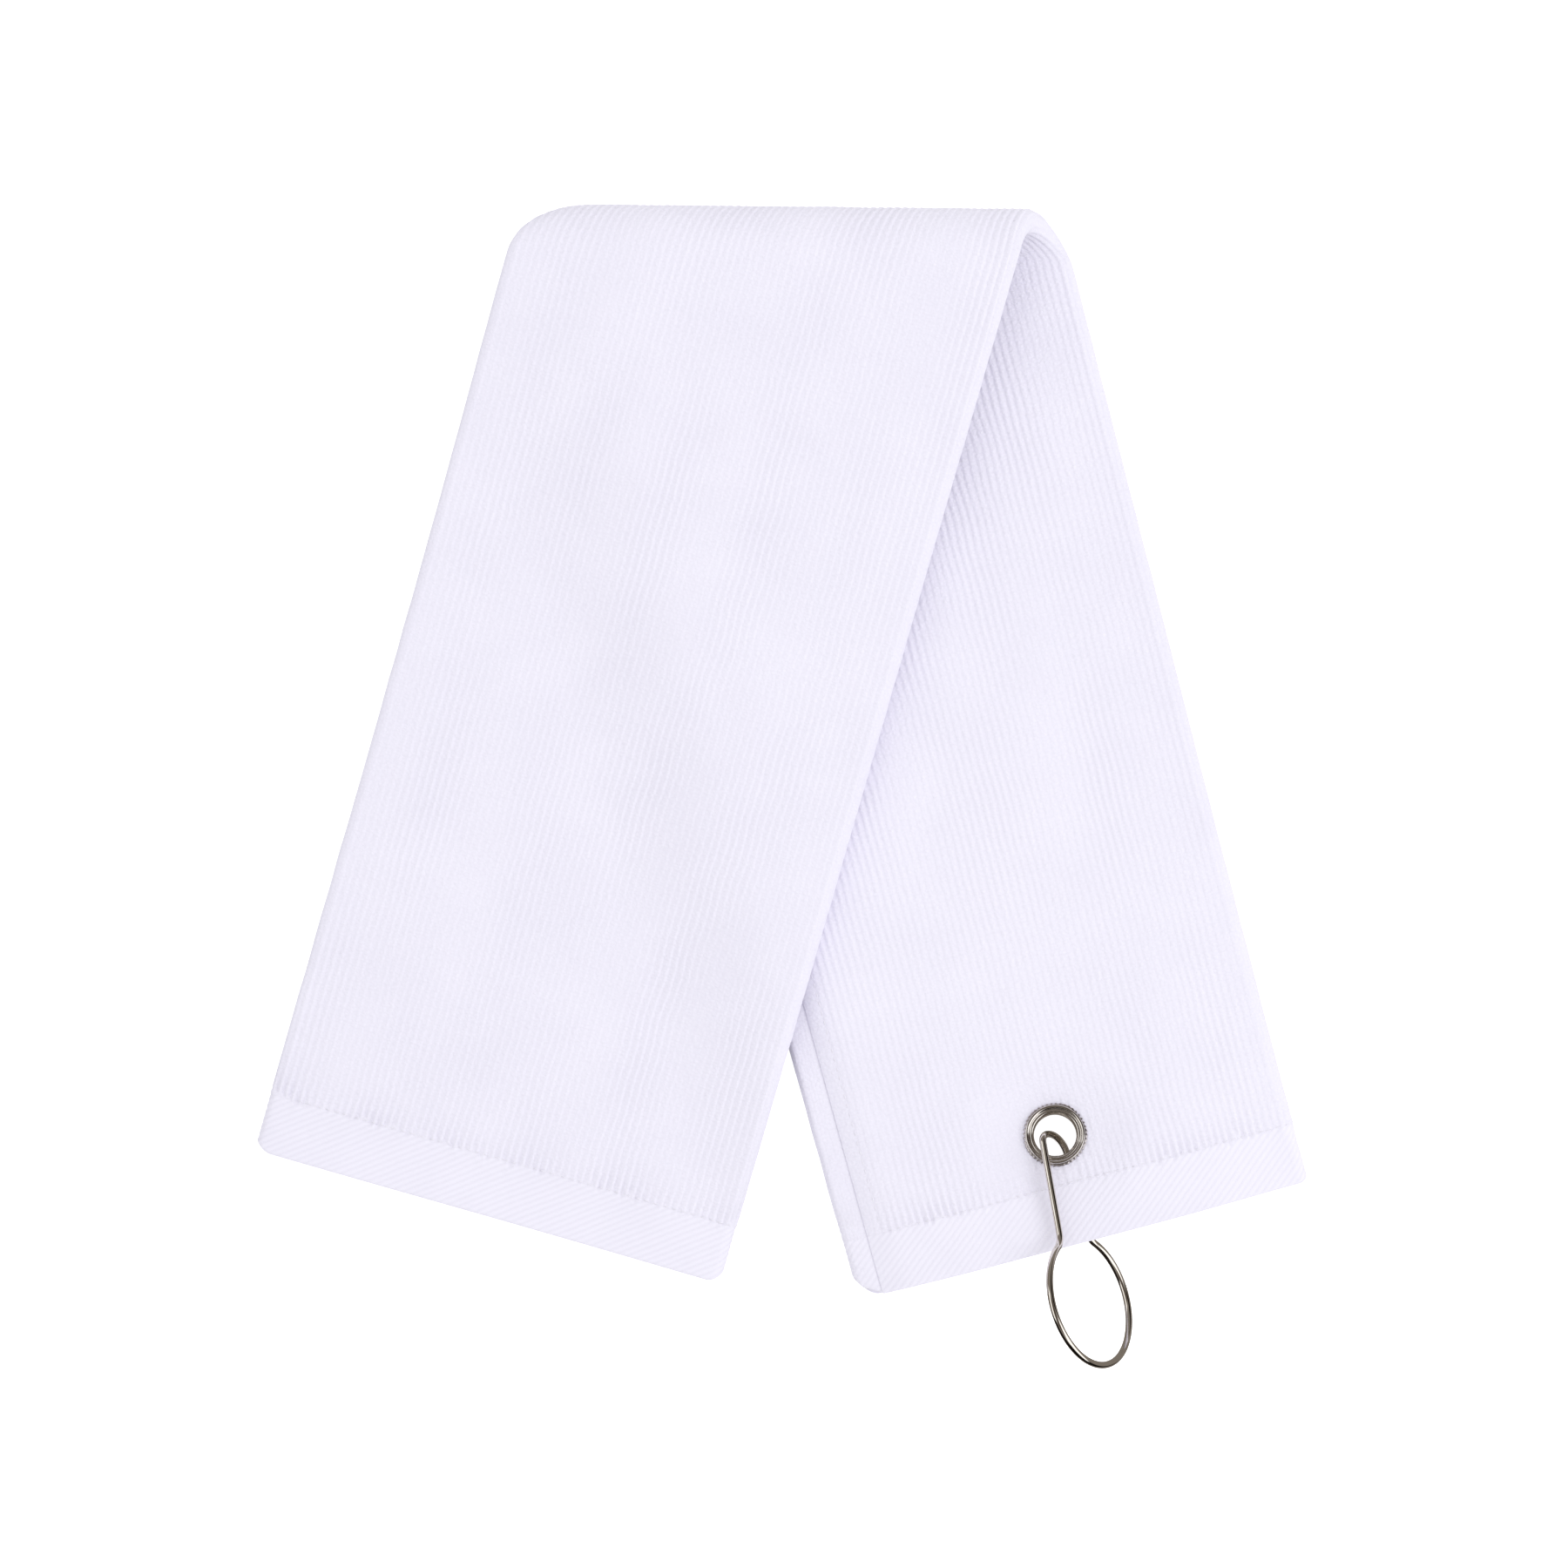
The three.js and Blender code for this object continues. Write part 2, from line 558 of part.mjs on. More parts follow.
export default towel;
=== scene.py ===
"""Golf towel: the looks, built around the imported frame.

The cloth is one ribbed sheet, folded in three across the strip and rolled over at the half-fold.
It is built in millimetres in the strip's own coordinates and written in metres:
    s  across the unfolded sheet, along its face; u  across the strip; n  height in the stack
    v  along the strip's centre line: 0 at the half-fold, positive towards the grommet end
"""
import json
import math

import bmesh
import bpy
import numpy as np
from mathutils import Matrix, Vector


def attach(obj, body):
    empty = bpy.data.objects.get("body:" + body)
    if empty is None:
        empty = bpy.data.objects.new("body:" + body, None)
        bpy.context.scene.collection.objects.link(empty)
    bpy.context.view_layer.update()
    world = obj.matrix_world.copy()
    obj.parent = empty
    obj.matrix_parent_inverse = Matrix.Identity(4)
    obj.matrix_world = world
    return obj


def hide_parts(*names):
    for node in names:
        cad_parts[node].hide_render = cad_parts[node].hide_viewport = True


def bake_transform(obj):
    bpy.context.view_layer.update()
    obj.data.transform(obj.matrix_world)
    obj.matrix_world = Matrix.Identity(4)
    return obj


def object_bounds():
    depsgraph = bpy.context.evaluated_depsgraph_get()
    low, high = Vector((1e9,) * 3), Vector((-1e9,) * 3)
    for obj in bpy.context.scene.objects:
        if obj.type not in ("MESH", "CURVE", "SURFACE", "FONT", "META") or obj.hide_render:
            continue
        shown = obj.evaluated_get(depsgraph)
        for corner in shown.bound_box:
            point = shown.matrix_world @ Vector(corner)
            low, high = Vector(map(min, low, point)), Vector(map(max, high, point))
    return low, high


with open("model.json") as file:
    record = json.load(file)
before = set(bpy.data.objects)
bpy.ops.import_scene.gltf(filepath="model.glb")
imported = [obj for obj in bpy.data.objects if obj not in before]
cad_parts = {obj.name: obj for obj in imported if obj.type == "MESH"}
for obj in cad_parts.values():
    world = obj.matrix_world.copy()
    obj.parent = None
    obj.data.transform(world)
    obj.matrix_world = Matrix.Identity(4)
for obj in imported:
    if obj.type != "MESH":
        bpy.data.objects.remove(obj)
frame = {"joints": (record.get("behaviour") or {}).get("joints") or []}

MM = 0.001
UV_UNIT = 100.0  # millimetres of cloth to one unit of the "sheet" UV map
CAD_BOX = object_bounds()
JOINTS = {joint["name"]: joint for joint in frame["joints"]}

# ---- The sheet, in millimetres (the same sheet as the frame's cloth solids) ----
STRIP_WIDTH = 140.0
GROMMET_END_WIDTH = 133.0
LOWER_LENGTH = 296.0
SHEET_LENGTH = 634.8
LEG_ANGLE = math.radians(15.5)
LEG_START_X = 6.3
SHEET_THICKNESS = 2.3
LAYER_PITCH = 2.55  # from one layer of the stack to the next
FLAP_SHORTFALL = 7.6  # the top flap's free edge stops short of the left fold
TUCK_SHORTFALL = 9.0  # the tucked panel's free edge stops short of the right fold
HEM_DEPTH = 17.0  # from each end of the sheet to its seam
BOTTOM_LAYER = SHEET_THICKNESS / 2
MIDDLE_LAYER = BOTTOM_LAYER + LAYER_PITCH
TOP_LAYER = MIDDLE_LAYER + LAYER_PITCH
STACK = TOP_LAYER + SHEET_THICKNESS / 2
FREE_END_V = LOWER_LENGTH - SHEET_LENGTH

# ---- The half-fold, from the frame: four hinges along the roll's outer face ----
HINGES = [JOINTS[f"unfold_{number}"] for number in (1, 2, 3, 4)]
HINGE_STEP = math.radians(HINGES[0]["range_deg"][1])
ROLL_ANGLE = HINGE_STEP * len(HINGES)
ROLL_RADIUS = 14.5
ROLL_LENGTH = ROLL_RADIUS * ROLL_ANGLE
HINGE_RADIUS = math.hypot(
    HINGES[1]["pos_m"][1] - HINGES[0]["pos_m"][1],
    HINGES[1]["pos_m"][2] - HINGES[0]["pos_m"][2],
) / MM / (2 * math.sin(HINGE_STEP / 2))
FOLD_X = HINGES[0]["pos_m"][0] / MM
FOLD_Y = HINGES[0]["pos_m"][1] / MM - HINGE_RADIUS * math.sin(HINGE_STEP / 2)

# ---- How the upper leg sinks on to the lower leg and the table ----
REST_GAP = 0.4  # between the upper leg and what it lies on
SAG_LENGTH = 78.0  # the upper leg comes down from the roll over this length
SAG_POWER = 1.5
SUPPORT_RAMP = (34.0, 6.0)  # the lower leg's edge carries it from here, outside and inside
CORNER_PULL = 4.4  # how far the roll's left corner is drawn in
CORNER_REACH = 15.0
CORNER_POWER = 2.4
ROLL_PULL = 0.6  # how much flatter the whole roll is pressed
ROLL_POWER = 1.5
ROLL_SLANT = 1.6  # how far the roll's right end leans to the left
SLANT_SPAN = (35.0, 70.0)  # across the strip, where that lean sets in
UPPER_SHIFT = 3.95  # how far the upper leg lies to the left
UPPER_WIDENING = 0.9  # on each side of the upper leg, beyond the frame's solid
WIDENING_LENGTH = 60.0
LOWER_WIDENING = (0.5, 1.4)  # the same on the lower leg, at the half-fold and at its end
FLUTTER_HEIGHT = 0.5  # the upper leg's free end isn't quite flat
FLUTTER_START = 120.0
FLUTTER_WIDTH = 21.0

# ---- The grommet end, lifted by the hook and squeezed by the grommet ----
GROMMET_V = LOWER_LENGTH - 31.4
END_SLOPE = math.radians(11.6)
SLOPE_BLEND = 2.0
CORNER_DROOP = 0.45  # share of the lift that is lost at the two corners
DROOP_START = 28.0
SQUEEZE = 0.36  # share of the stack's thickness left under the grommet
SQUEEZE_RADIUS = 11.0
LOFT_RADIUS = 27.0  # the stack has its full thickness again from here
GROMMET_CENTRE = np.array(JOINTS["hook_swing"]["pos_m"]) / MM
SLOPE_START = GROMMET_V - (GROMMET_CENTRE[2] - MIDDLE_LAYER) / math.tan(END_SLOPE)
CLOTH_HOLE_RADIUS = 6.95
CUTTER_DEPTH = 16.0
SQUEEZED_HALF = STACK * SQUEEZE / 2
PUCKER_RADIUS = 10.5
PUCKER_SPREAD = 3.6
PLEATS = ((13, 1.0, 0.16), (22, 0.0, 0.10))  # count round the grommet, phase, height

# ---- Surface of the cloth ----
RIB_PITCH = 2.2
RIB_DEPTH = 0.36
RIB_WANDER = 0.13  # how far a rib strays sideways
VALLEY_POWER = 2.2  # the valleys between the ribs are narrow
TWIN_SHARE = 0.2  # a faint second valley along each rib
SEAM_SQUASH = (1.5, 5.5)  # ribs stand deeper next to a hem's seam: by how much, how far
SEAM_JITTER = 0.45  # how far a hem's seam line wanders
RIB_END_JITTER = 0.5
PILE_EDGE = (-0.6, 0.9)  # the pile starts here, from the hem's seam
RIM_HEIGHT = 0.16  # the low rim along a hem's seam
RIM_PLACE = (-1.2, 0.8)
SELVEDGE = (2.2, 4.2)  # no ribs on the flap's outermost strip
TWILL_PITCH = 1.65
TWILL_DEPTH = 0.18
TWILL_POWER = 1.5
TWILL_ACROSS, TWILL_ALONG = 0.616, -0.788  # direction across the twill's grooves
LOFT_HEIGHT = 0.22  # soft, wide unevenness of the whole stack
DENT_DEPTH = 0.03
HEM_SINK = 0.22  # the flat hem lies this far under the rib crests
TUCK_SINK = 0.12  # and the hidden tucked panel this far
BACK_INSET = 0.15
LEAST_OFFSET = 0.25
EDGE_ROUND = 1.1  # radius of the sheet's cut edges
EDGE_SHARE = 0.12  # least share of the thickness at a cut edge
FLAP_TAPER = 10.0  # the flap thins towards its free edge over this width
FLAP_EDGE_SHARE = 0.10
FLAP_DIP = 0.20  # and its edge dips into the layer below

# ---- How far the end lines step back at the strip's left and right corner: across, along ----
GROMMET_CORNERS = ((7.0, 13.0), (3.0, 3.0))
FREE_CORNERS = ((5.5, 5.5), (4.5, 7.0))
CORNER_FADE = (4.0, 24.0)  # the rows behind an end straighten out over this stretch


def smoothstep(x, low, high):
    t = np.clip((x - low) / (high - low), 0.0, 1.0)
    return t * t * (3.0 - 2.0 * t)


def waves(seed, count, wavelength, spread=0.6):
    """A smooth field of two coordinates, about -1 to 1: a sum of sines in random directions."""
    rng = np.random.default_rng(seed)
    size = 2 * np.pi / (wavelength * (1 + spread * (rng.random(count) - 0.5)))
    angle = rng.random(count) * 2 * np.pi
    phase = rng.random(count) * 2 * np.pi
    weight = 1.4 / math.sqrt(count)

    def field(a, b):
        total = 0.0
        for k in range(count):
            total = total + np.sin(size[k] * (np.cos(angle[k]) * a + np.sin(angle[k]) * b) + phase[k])
        return total * weight
    return field


RIB_WOBBLE = waves(11, 9, 26.0)
RIB_STRENGTH = waves(12, 9, 30.0)
LOFT = waves(13, 8, 62.0)
DENTS = waves(14, 12, 15.0)
SEAM_WANDER = waves(15, 9, 7.0)
RIB_END = waves(16, 9, 2.6)


def half_width(v):
    share = np.clip(v / LOWER_LENGTH, 0.0, 1.0)
    wider = np.where(
        v < 0,
        LOWER_WIDENING[0] + (UPPER_WIDENING - LOWER_WIDENING[0]) * smoothstep(-v, 0.0, WIDENING_LENGTH),
        LOWER_WIDENING[0] + (LOWER_WIDENING[1] - LOWER_WIDENING[0]) * share,
    )
    return (STRIP_WIDTH + (GROMMET_END_WIDTH - STRIP_WIDTH) * share) / 2 + wider


def lift(u, v):
    rise = math.tan(END_SLOPE) * SLOPE_BLEND * np.logaddexp(0.0, (v - SLOPE_START) / SLOPE_BLEND)
    droop = smoothstep(np.abs(u), DROOP_START, GROMMET_END_WIDTH / 2)
    return rise * (1 - CORNER_DROOP * droop)


def squeeze(u, v):
    distance = np.hypot(u, v - GROMMET_V)
    return SQUEEZE + (1 - SQUEEZE) * smoothstep(distance, SQUEEZE_RADIUS, LOFT_RADIUS)


def sag(x, y, straight):
    """How far the upper leg hangs below the plain slope of the frame's solid."""
    past = np.maximum(straight, 0.0)
    slope = math.sin(ROLL_ANGLE)
    start = ROLL_RADIUS - math.cos(ROLL_ANGLE) * (ROLL_RADIUS - STACK)
    plain = start + slope * past
    # Distance across the lower leg below, from its centre line.
    across = (x - LEG_START_X) * math.cos(LEG_ANGLE) + y * math.sin(LEG_ANGLE)
    left = -STRIP_WIDTH / 2
    support = STACK * smoothstep(across, left - SUPPORT_RAMP[0], left + SUPPORT_RAMP[1]) + REST_GAP
    share = np.exp(-((past / SAG_LENGTH) ** SAG_POWER))
    resting = support + (start - support) * share
    return np.where(straight > 0, np.minimum(resting - plain, 0.0), 0.0)


def roll_pull(u, angle):
    """The roll is pressed a little flatter, most at its left end, where the corner is round."""
    near = 1 - np.clip((u + STRIP_WIDTH / 2) / CORNER_REACH, 0.0, 1.0)
    return (ROLL_PULL + CORNER_PULL * near ** CORNER_POWER) * np.sin(np.clip(angle, 0, np.pi)) ** ROLL_POWER


def side_shift(u, y):
    """The upper leg lies a little to the left, and the roll's right end leans with it."""
    angle = np.clip(y / ROLL_RADIUS, 0.0, np.pi)
    slant = ROLL_SLANT * smoothstep(u, *SLANT_SPAN) * np.sin(angle)
    return UPPER_SHIFT * smoothstep(y, 0.0, ROLL_LENGTH) + slant


def fold_points(x, y, n, u):
    """Rolls the flat pattern up over the half-fold."""
    radius = ROLL_RADIUS - n
    angle = np.clip(y / ROLL_RADIUS, 0.0, ROLL_ANGLE)
    straight = y - angle * ROLL_RADIUS
    folded_y = np.sin(angle) * radius + np.cos(angle) * straight - roll_pull(u, angle)
    folded_z = ROLL_RADIUS - np.cos(angle) * radius + np.sin(angle) * straight
    x = x - side_shift(u, y)
    folded_z = folded_z + sag(x, folded_y, straight)
    return np.stack([x + FOLD_X, folded_y + FOLD_Y, folded_z], -1)


def cloth_points(u, v, n):
    """World points, in millimetres, of strip points (u, v) at height n in the stack."""
    plan_x = LEG_START_X + v * math.sin(LEG_ANGLE) + u * math.cos(LEG_ANGLE)
    plan_y = u * math.sin(LEG_ANGLE) - v * math.cos(LEG_ANGLE)
    height = MIDDLE_LAYER + (n - MIDDLE_LAYER) * squeeze(u, v) + lift(u, v)
    return fold_points(plan_x, plan_y, height, u)


def v_at_line(u, y):
    return (u * math.sin(LEG_ANGLE) - y) / math.cos(LEG_ANGLE)


# ---- Across the strip ----
TUCK, LEFT_FOLD, BOTTOM, RIGHT_FOLD, FLAP = range(5)
INNER_FOLD = LAYER_PITCH / 2
OUTER_FOLD = LAYER_PITCH
HIDDEN_STEP = 6.0  # between two columns where the cloth is plain
BACK_FOLD_STEP = 1.2
EDGE_COLUMNS = (0.06, 0.22, 0.5, 0.85)  # extra columns at a free edge, in its radii


class Section:
    """The sheet's path across the strip, as columns over its five stretches."""

    def __init__(self, rib_step, fold_step):
        half = STRIP_WIDTH / 2
        left = INNER_FOLD + BOTTOM_LAYER - half
        right = half - OUTER_FOLD - BOTTOM_LAYER
        stretches = [
            (half - TUCK_SHORTFALL - left, HIDDEN_STEP),
            (math.pi * (INNER_FOLD + BOTTOM_LAYER), fold_step),
            (right - left, rib_step),
            (math.pi * (OUTER_FOLD + BOTTOM_LAYER), fold_step),
            (right - (FLAP_SHORTFALL - half), rib_step),
        ]
        kinds, shares, along = [], [], []
        start = 0.0
        for number, (length, step) in enumerate(stretches):
            count = round(length / step)
            share = np.arange(0 if number == TUCK else 1, count + 1) / count
            if number in (TUCK, FLAP):
                share = self.with_round_end(share, length, at_start=number == TUCK)
            kinds += [number] * len(share)
            shares += list(share)
            along += list(start + share * length)
            start += length
        self.kind = np.array(kinds)
        self.share = np.array(shares)
        self.s = np.array(along)
        self.length = start

    @staticmethod
    def with_round_end(share, length, at_start):
        """Extra columns at a free edge, so that it can be rounded."""
        extra = np.array(EDGE_COLUMNS) * EDGE_ROUND / length
        if at_start:
            kept = share[share > EDGE_ROUND / length]
            return np.concatenate([[0.0], extra, kept])
        kept = share[share < 1 - EDGE_ROUND / length]
        return np.concatenate([kept, 1 - extra[::-1], [1.0]])

    def place(self, half):
        """(u, n, du, dn) of every column, for strips of the given half widths (rows by 1)."""
        left = INNER_FOLD + BOTTOM_LAYER - half
        right = half - OUTER_FOLD - BOTTOM_LAYER
        t = self.share[None, :] + 0 * half
        kind = self.kind[None, :] + 0 * half
        kinds = [kind == k for k in range(5)]
        left_angle = np.pi * (0.5 + t)
        right_angle = np.pi * (t - 0.5)
        u = np.select(kinds, [
            (half - TUCK_SHORTFALL) * (1 - t) + left * t,
            left + INNER_FOLD * np.cos(left_angle),
            left * (1 - t) + right * t,
            right + OUTER_FOLD * np.cos(right_angle),
            right * (1 - t) + (FLAP_SHORTFALL - half) * t,
        ])
        n = np.select(kinds, [
            MIDDLE_LAYER + 0 * t,
            BOTTOM_LAYER + INNER_FOLD + INNER_FOLD * np.sin(left_angle),
            BOTTOM_LAYER + 0 * t,
            MIDDLE_LAYER + OUTER_FOLD * np.sin(right_angle),
            TOP_LAYER + 0 * t,
        ])
        folds = [kinds[LEFT_FOLD], kinds[RIGHT_FOLD]]
        du = np.select(folds, [np.cos(left_angle), np.cos(right_angle)], 0.0)
        up = 1.0 + 0 * t
        dn = np.select(kinds, [up, np.sin(left_angle), -up, np.sin(right_angle), up])
        return u, n, du, dn


DENSE = Section(RIB_PITCH / 4, RIB_PITCH / 4)
COARSE = Section(HIDDEN_STEP, BACK_FOLD_STEP)


def end_rounding(u, v_end):
    """How far the end line steps back near the two corners of the strip."""
    half = half_width(v_end)
    corners = GROMMET_CORNERS if v_end > 0 else FREE_CORNERS
    back = 0.0
    for side, (across, along) in zip((-1, 1), corners):
        inside = np.clip((across - (half - side * u)) / across, 0.0, 1.0)
        back = back + along * (1 - np.sqrt(1 - inside ** 2))
    return back


def surface_height(s, v, end_distance):
    """Height of the cloth's face over its base, 0 at the rib crests, in millimetres."""
    inside = end_distance - HEM_DEPTH - SEAM_JITTER * SEAM_WANDER(s, 0.0)
    pile = smoothstep(inside + RIB_END_JITTER * RIB_END(s, 0.0), *PILE_EDGE)
    valley = ((1 - np.cos(2 * np.pi * s / RIB_PITCH)) / 2) ** VALLEY_POWER
    twin = TWIN_SHARE * (1 - np.cos(4 * np.pi * s / RIB_PITCH)) / 2
    extra, reach = SEAM_SQUASH
    near_seam = 1 + extra * np.exp(-(np.maximum(inside, 0) / reach) ** 2)
    depth = RIB_DEPTH * (0.8 + 0.25 * RIB_STRENGTH(s, v * 0.3)) * near_seam
    ribs = -depth * (valley + twin)
    twill_phase = 2 * np.pi * (TWILL_ACROSS * s + TWILL_ALONG * v) / TWILL_PITCH
    twill = -TWILL_DEPTH * (0.5 + 0.5 * np.sin(twill_phase)) ** TWILL_POWER
    rim_at, rim_spread = RIM_PLACE
    rim = RIM_HEIGHT * np.exp(-((inside - rim_at) / rim_spread) ** 2) * (0.75 + 0.35 * RIB_END(s, 3.0))
    selvedge = smoothstep(DENSE.length - s, *SELVEDGE)
    dents = DENT_DEPTH * DENTS(s, v)
    return ribs * pile * selvedge + (1 - pile) * (twill - HEM_SINK) + rim + dents


def rounded(distance):
    """Share of the half thickness left at this distance from an edge of the sheet."""
    t = np.clip(distance / EDGE_ROUND, 0.0, 1.0)
    return np.maximum(np.sqrt(1 - (1 - t) ** 2), EDGE_SHARE)


def flap_taper(s):
    """Share of the thickness that is left towards the flap's free edge."""
    t = np.clip((DENSE.length - s) / FLAP_TAPER, 0.0, 1.0)
    return FLAP_EDGE_SHARE + (1 - FLAP_EDGE_SHARE) * np.sin(t * np.pi / 2)


def pucker(u, v):
    """Small pleats round the grommet."""
    distance = np.hypot(u, v - GROMMET_V)
    angle = np.arctan2(v - GROMMET_V, u)
    ring = np.exp(-((distance - PUCKER_RADIUS) / PUCKER_SPREAD) ** 2)
    return ring * sum(height * np.sin(count * angle + phase) for count, phase, height in PLEATS)


def flutter(u, v):
    """Shallow waves at the upper leg's free end."""
    share = smoothstep(-v, FLUTTER_START, -FREE_END_V)
    return share * FLUTTER_HEIGHT * np.sin(u / FLUTTER_WIDTH + 0.7)


def unevenness(u, v, n):
    """Rise of the whole stack: nothing on the table side, full on the upper side."""
    loft = LOFT_HEIGHT * LOFT(u, v * 0.5) * n / STACK
    return loft + pucker(u, v) * (n / STACK - 0.5) * 2 + flutter(u, v)


# ---- Along the strip: a row is a function of u that crosses the strip or follows the fold ----
def rows_across(values, v_end):
    sign = 1 if v_end > 0 else -1

    def row(v):
        near = 1 - smoothstep(abs(v_end) - abs(v), *CORNER_FADE)
        return lambda u: v - sign * end_rounding(u, v_end) * near
    return [row(v) for v in values]


def rows_on_lines(values):
    return [lambda u, y=y: v_at_line(u, y) for y in values]


def rows_between(first, last, count):
    """Rows that change evenly from one row's shape to another's, without the two ends."""
    shares = np.arange(1, count) / count
    return [lambda u, t=t: first(u) * (1 - t) + last(u) * t for t in shares]


def sheet_surface(section, u, n, du, dn, v, v_end, is_face):
    """World points of one side of the sheet, from its centre line."""
    s = section.s[None, :] + 0 * v
    kind = section.kind[None, :]
    if v_end is None:
        end_distance = np.full(v.shape, SHEET_LENGTH)
    else:
        end_distance = np.maximum(np.abs(v_end - v) - end_rounding(u, v_end), 0.0)
    edge_distance = np.minimum(s, section.length - s)
    taper = flap_taper(s)
    thick = rounded(end_distance) * rounded(edge_distance) * taper
    half = SHEET_THICKNESS / 2
    n = n - np.where(kind == FLAP, (1 - taper) * (half + FLAP_DIP), 0.0)
    if is_face:
        height = np.where(kind == TUCK, -TUCK_SINK, surface_height(s, v, end_distance))
        offset = np.maximum(half + height, LEAST_OFFSET) * thick
        straight = np.isin(kind, (BOTTOM, FLAP))
        near_fold = np.clip(np.minimum(section.share, 1 - section.share)[None, :] * 8, 0, 1)
        free = smoothstep(edge_distance, 2.0, 12.0) * smoothstep(end_distance, 0.0, 4.0)
        wobble = RIB_WANDER * RIB_WOBBLE(s, v) * near_fold * straight * free
    else:
        offset = -(half - BACK_INSET) * thick
        wobble = 0.0
    n_out = n + dn * offset
    return cloth_points(u + du * offset + wobble, v, n_out + unevenness(u, v, n_out)), s, v


def cloth_grid(section, rows, v_end, is_face):
    rough = np.stack([row(np.zeros(1)) for row in rows])
    u, n, du, dn = section.place(half_width(rough))
    v = np.stack([row(u[k]) for k, row in enumerate(rows)])
    return sheet_surface(section, u, n, du, dn, v, v_end, is_face)


def zipper(first, second, first_s, second_s):
    """Triangles between two rows of vertices that run the same way, matched by s."""
    faces = []
    i = j = 0
    while i < len(first) - 1 or j < len(second) - 1:
        first_is_next = i < len(first) - 1 and first_s[i + 1] <= second_s[min(j + 1, len(second) - 1)]
        if j == len(second) - 1 or first_is_next:
            faces.append((first[i], first[i + 1], second[j]))
            i += 1
        else:
            faces.append((first[i], second[j + 1], second[j]))
            j += 1
    return faces


def new_object(name, points, faces):
    mesh = bpy.data.meshes.new(name)
    mesh.from_pydata(points, [], faces)
    mesh.shade_smooth()
    obj = bpy.data.objects.new(name, mesh)
    bpy.context.scene.collection.objects.link(obj)
    return obj


def edit_mesh(obj, change):
    work = bmesh.new()
    work.from_mesh(obj.data)
    change(work)
    work.to_mesh(obj.data)
    work.free()


def turn_outwards(work):
    if work.calc_volume(signed=True) < 0:
        bmesh.ops.reverse_faces(work, faces=work.faces)


def build_cloth(name, rows, v_end=None):
    """One stretch of the sheet as a closed mesh: dense ribs on the face, a plain back."""
    face, face_s, face_v = cloth_grid(DENSE, rows, v_end, True)
    back, back_s, back_v = cloth_grid(COARSE, rows, v_end, False)
    count, dense_n, coarse_n = len(rows), face.shape[1], back.shape[1]
    points = np.concatenate([face.reshape(-1, 3), back.reshape(-1, 3)]) * MM
    uv = np.concatenate([
        np.stack([face_s, face_v], -1).reshape(-1, 2),
        np.stack([back_s, back_v], -1).reshape(-1, 2),
    ])
    f = np.arange(count * dense_n).reshape(count, dense_n)
    b = count * dense_n + np.arange(count * coarse_n).reshape(count, coarse_n)

    def quads(grid):
        corners = [grid[:-1, :-1], grid[:-1, 1:], grid[1:, 1:], grid[1:, :-1]]
        return np.stack(corners, -1).reshape(-1, 4)

    faces = quads(f).tolist() + quads(b)[:, ::-1].tolist()
    for r in range(count - 1):
        faces.append((f[r, 0], f[r + 1, 0], b[r + 1, 0], b[r, 0]))
        faces.append((f[r, -1], b[r, -1], b[r + 1, -1], f[r + 1, -1]))
    cap_start = len(faces)
    faces += [t[::-1] for t in zipper(f[0], b[0], DENSE.s, COARSE.s)]
    faces += zipper(f[-1], b[-1], DENSE.s, COARSE.s)
    obj = new_object(name, points.tolist(), [tuple(int(i) for i in face) for face in faces])
    layer = obj.data.uv_layers.new(name="sheet")
    loops = np.zeros(len(obj.data.loops), np.int32)
    obj.data.loops.foreach_get("vertex_index", loops)
    layer.data.foreach_set("uv", (uv[loops] / UV_UNIT).astype(np.float32).reshape(-1))

    def finish(work):
        turn_outwards(work)
        work.faces.ensure_lookup_table()
        for cap in work.faces[cap_start:]:
            for edge in cap.edges:
                if min(g.index for g in edge.link_faces) < cap_start:
                    edge.smooth = False
    edit_mesh(obj, finish)
    return obj


# ---- The four cloth pieces, and how closely their rows lie ----
RIM_ROWS = [0.0, 0.07, 0.25, 0.55, 0.95]  # from the end of the sheet, round its rim
HEM_ROW_STEP = 0.6
GROMMET_ROW_STEP = 1.4
GROMMET_ZONE = 62.0  # from the grommet end
ROLL_ROWS = 9  # in each quarter of the roll
LOWER_ROWS, UPPER_ROWS = 66, 110  # in the long plain stretch of each leg


def end_values():
    """Distances from an end of the sheet: fine over the hem and its seam."""
    return RIM_ROWS + list(np.arange(1.5, HEM_DEPTH + 5.0, HEM_ROW_STEP))


def build_towel():
    cuts = np.linspace(0.0, ROLL_LENGTH, len(HINGES) + 1)
    quarters = [rows_on_lines(np.linspace(a, b, ROLL_ROWS)) for a, b in zip(cuts[:-1], cuts[1:])]
    ends = end_values()
    hem = rows_across([LOWER_LENGTH - d for d in ends], LOWER_LENGTH)
    last = LOWER_LENGTH - ends[-1]
    grommet_values = np.arange(last - GROMMET_ROW_STEP, LOWER_LENGTH - GROMMET_ZONE, -GROMMET_ROW_STEP)
    near_grommet = rows_across(grommet_values, LOWER_LENGTH)
    lower = hem + near_grommet + rows_between(near_grommet[-1], quarters[0][0], LOWER_ROWS) + quarters[0]
    hem = rows_across([FREE_END_V + d for d in ends], FREE_END_V)
    upper = quarters[3] + rows_between(quarters[3][-1], hem[-1], UPPER_ROWS) + hem[::-1]
    return [
        build_cloth("towel_lower_leg", lower, LOWER_LENGTH),
        build_cloth("towel_fold_low", quarters[1]),
        build_cloth("towel_fold_high", quarters[2]),
        build_cloth("towel_upper_leg", upper, FREE_END_V),
    ]


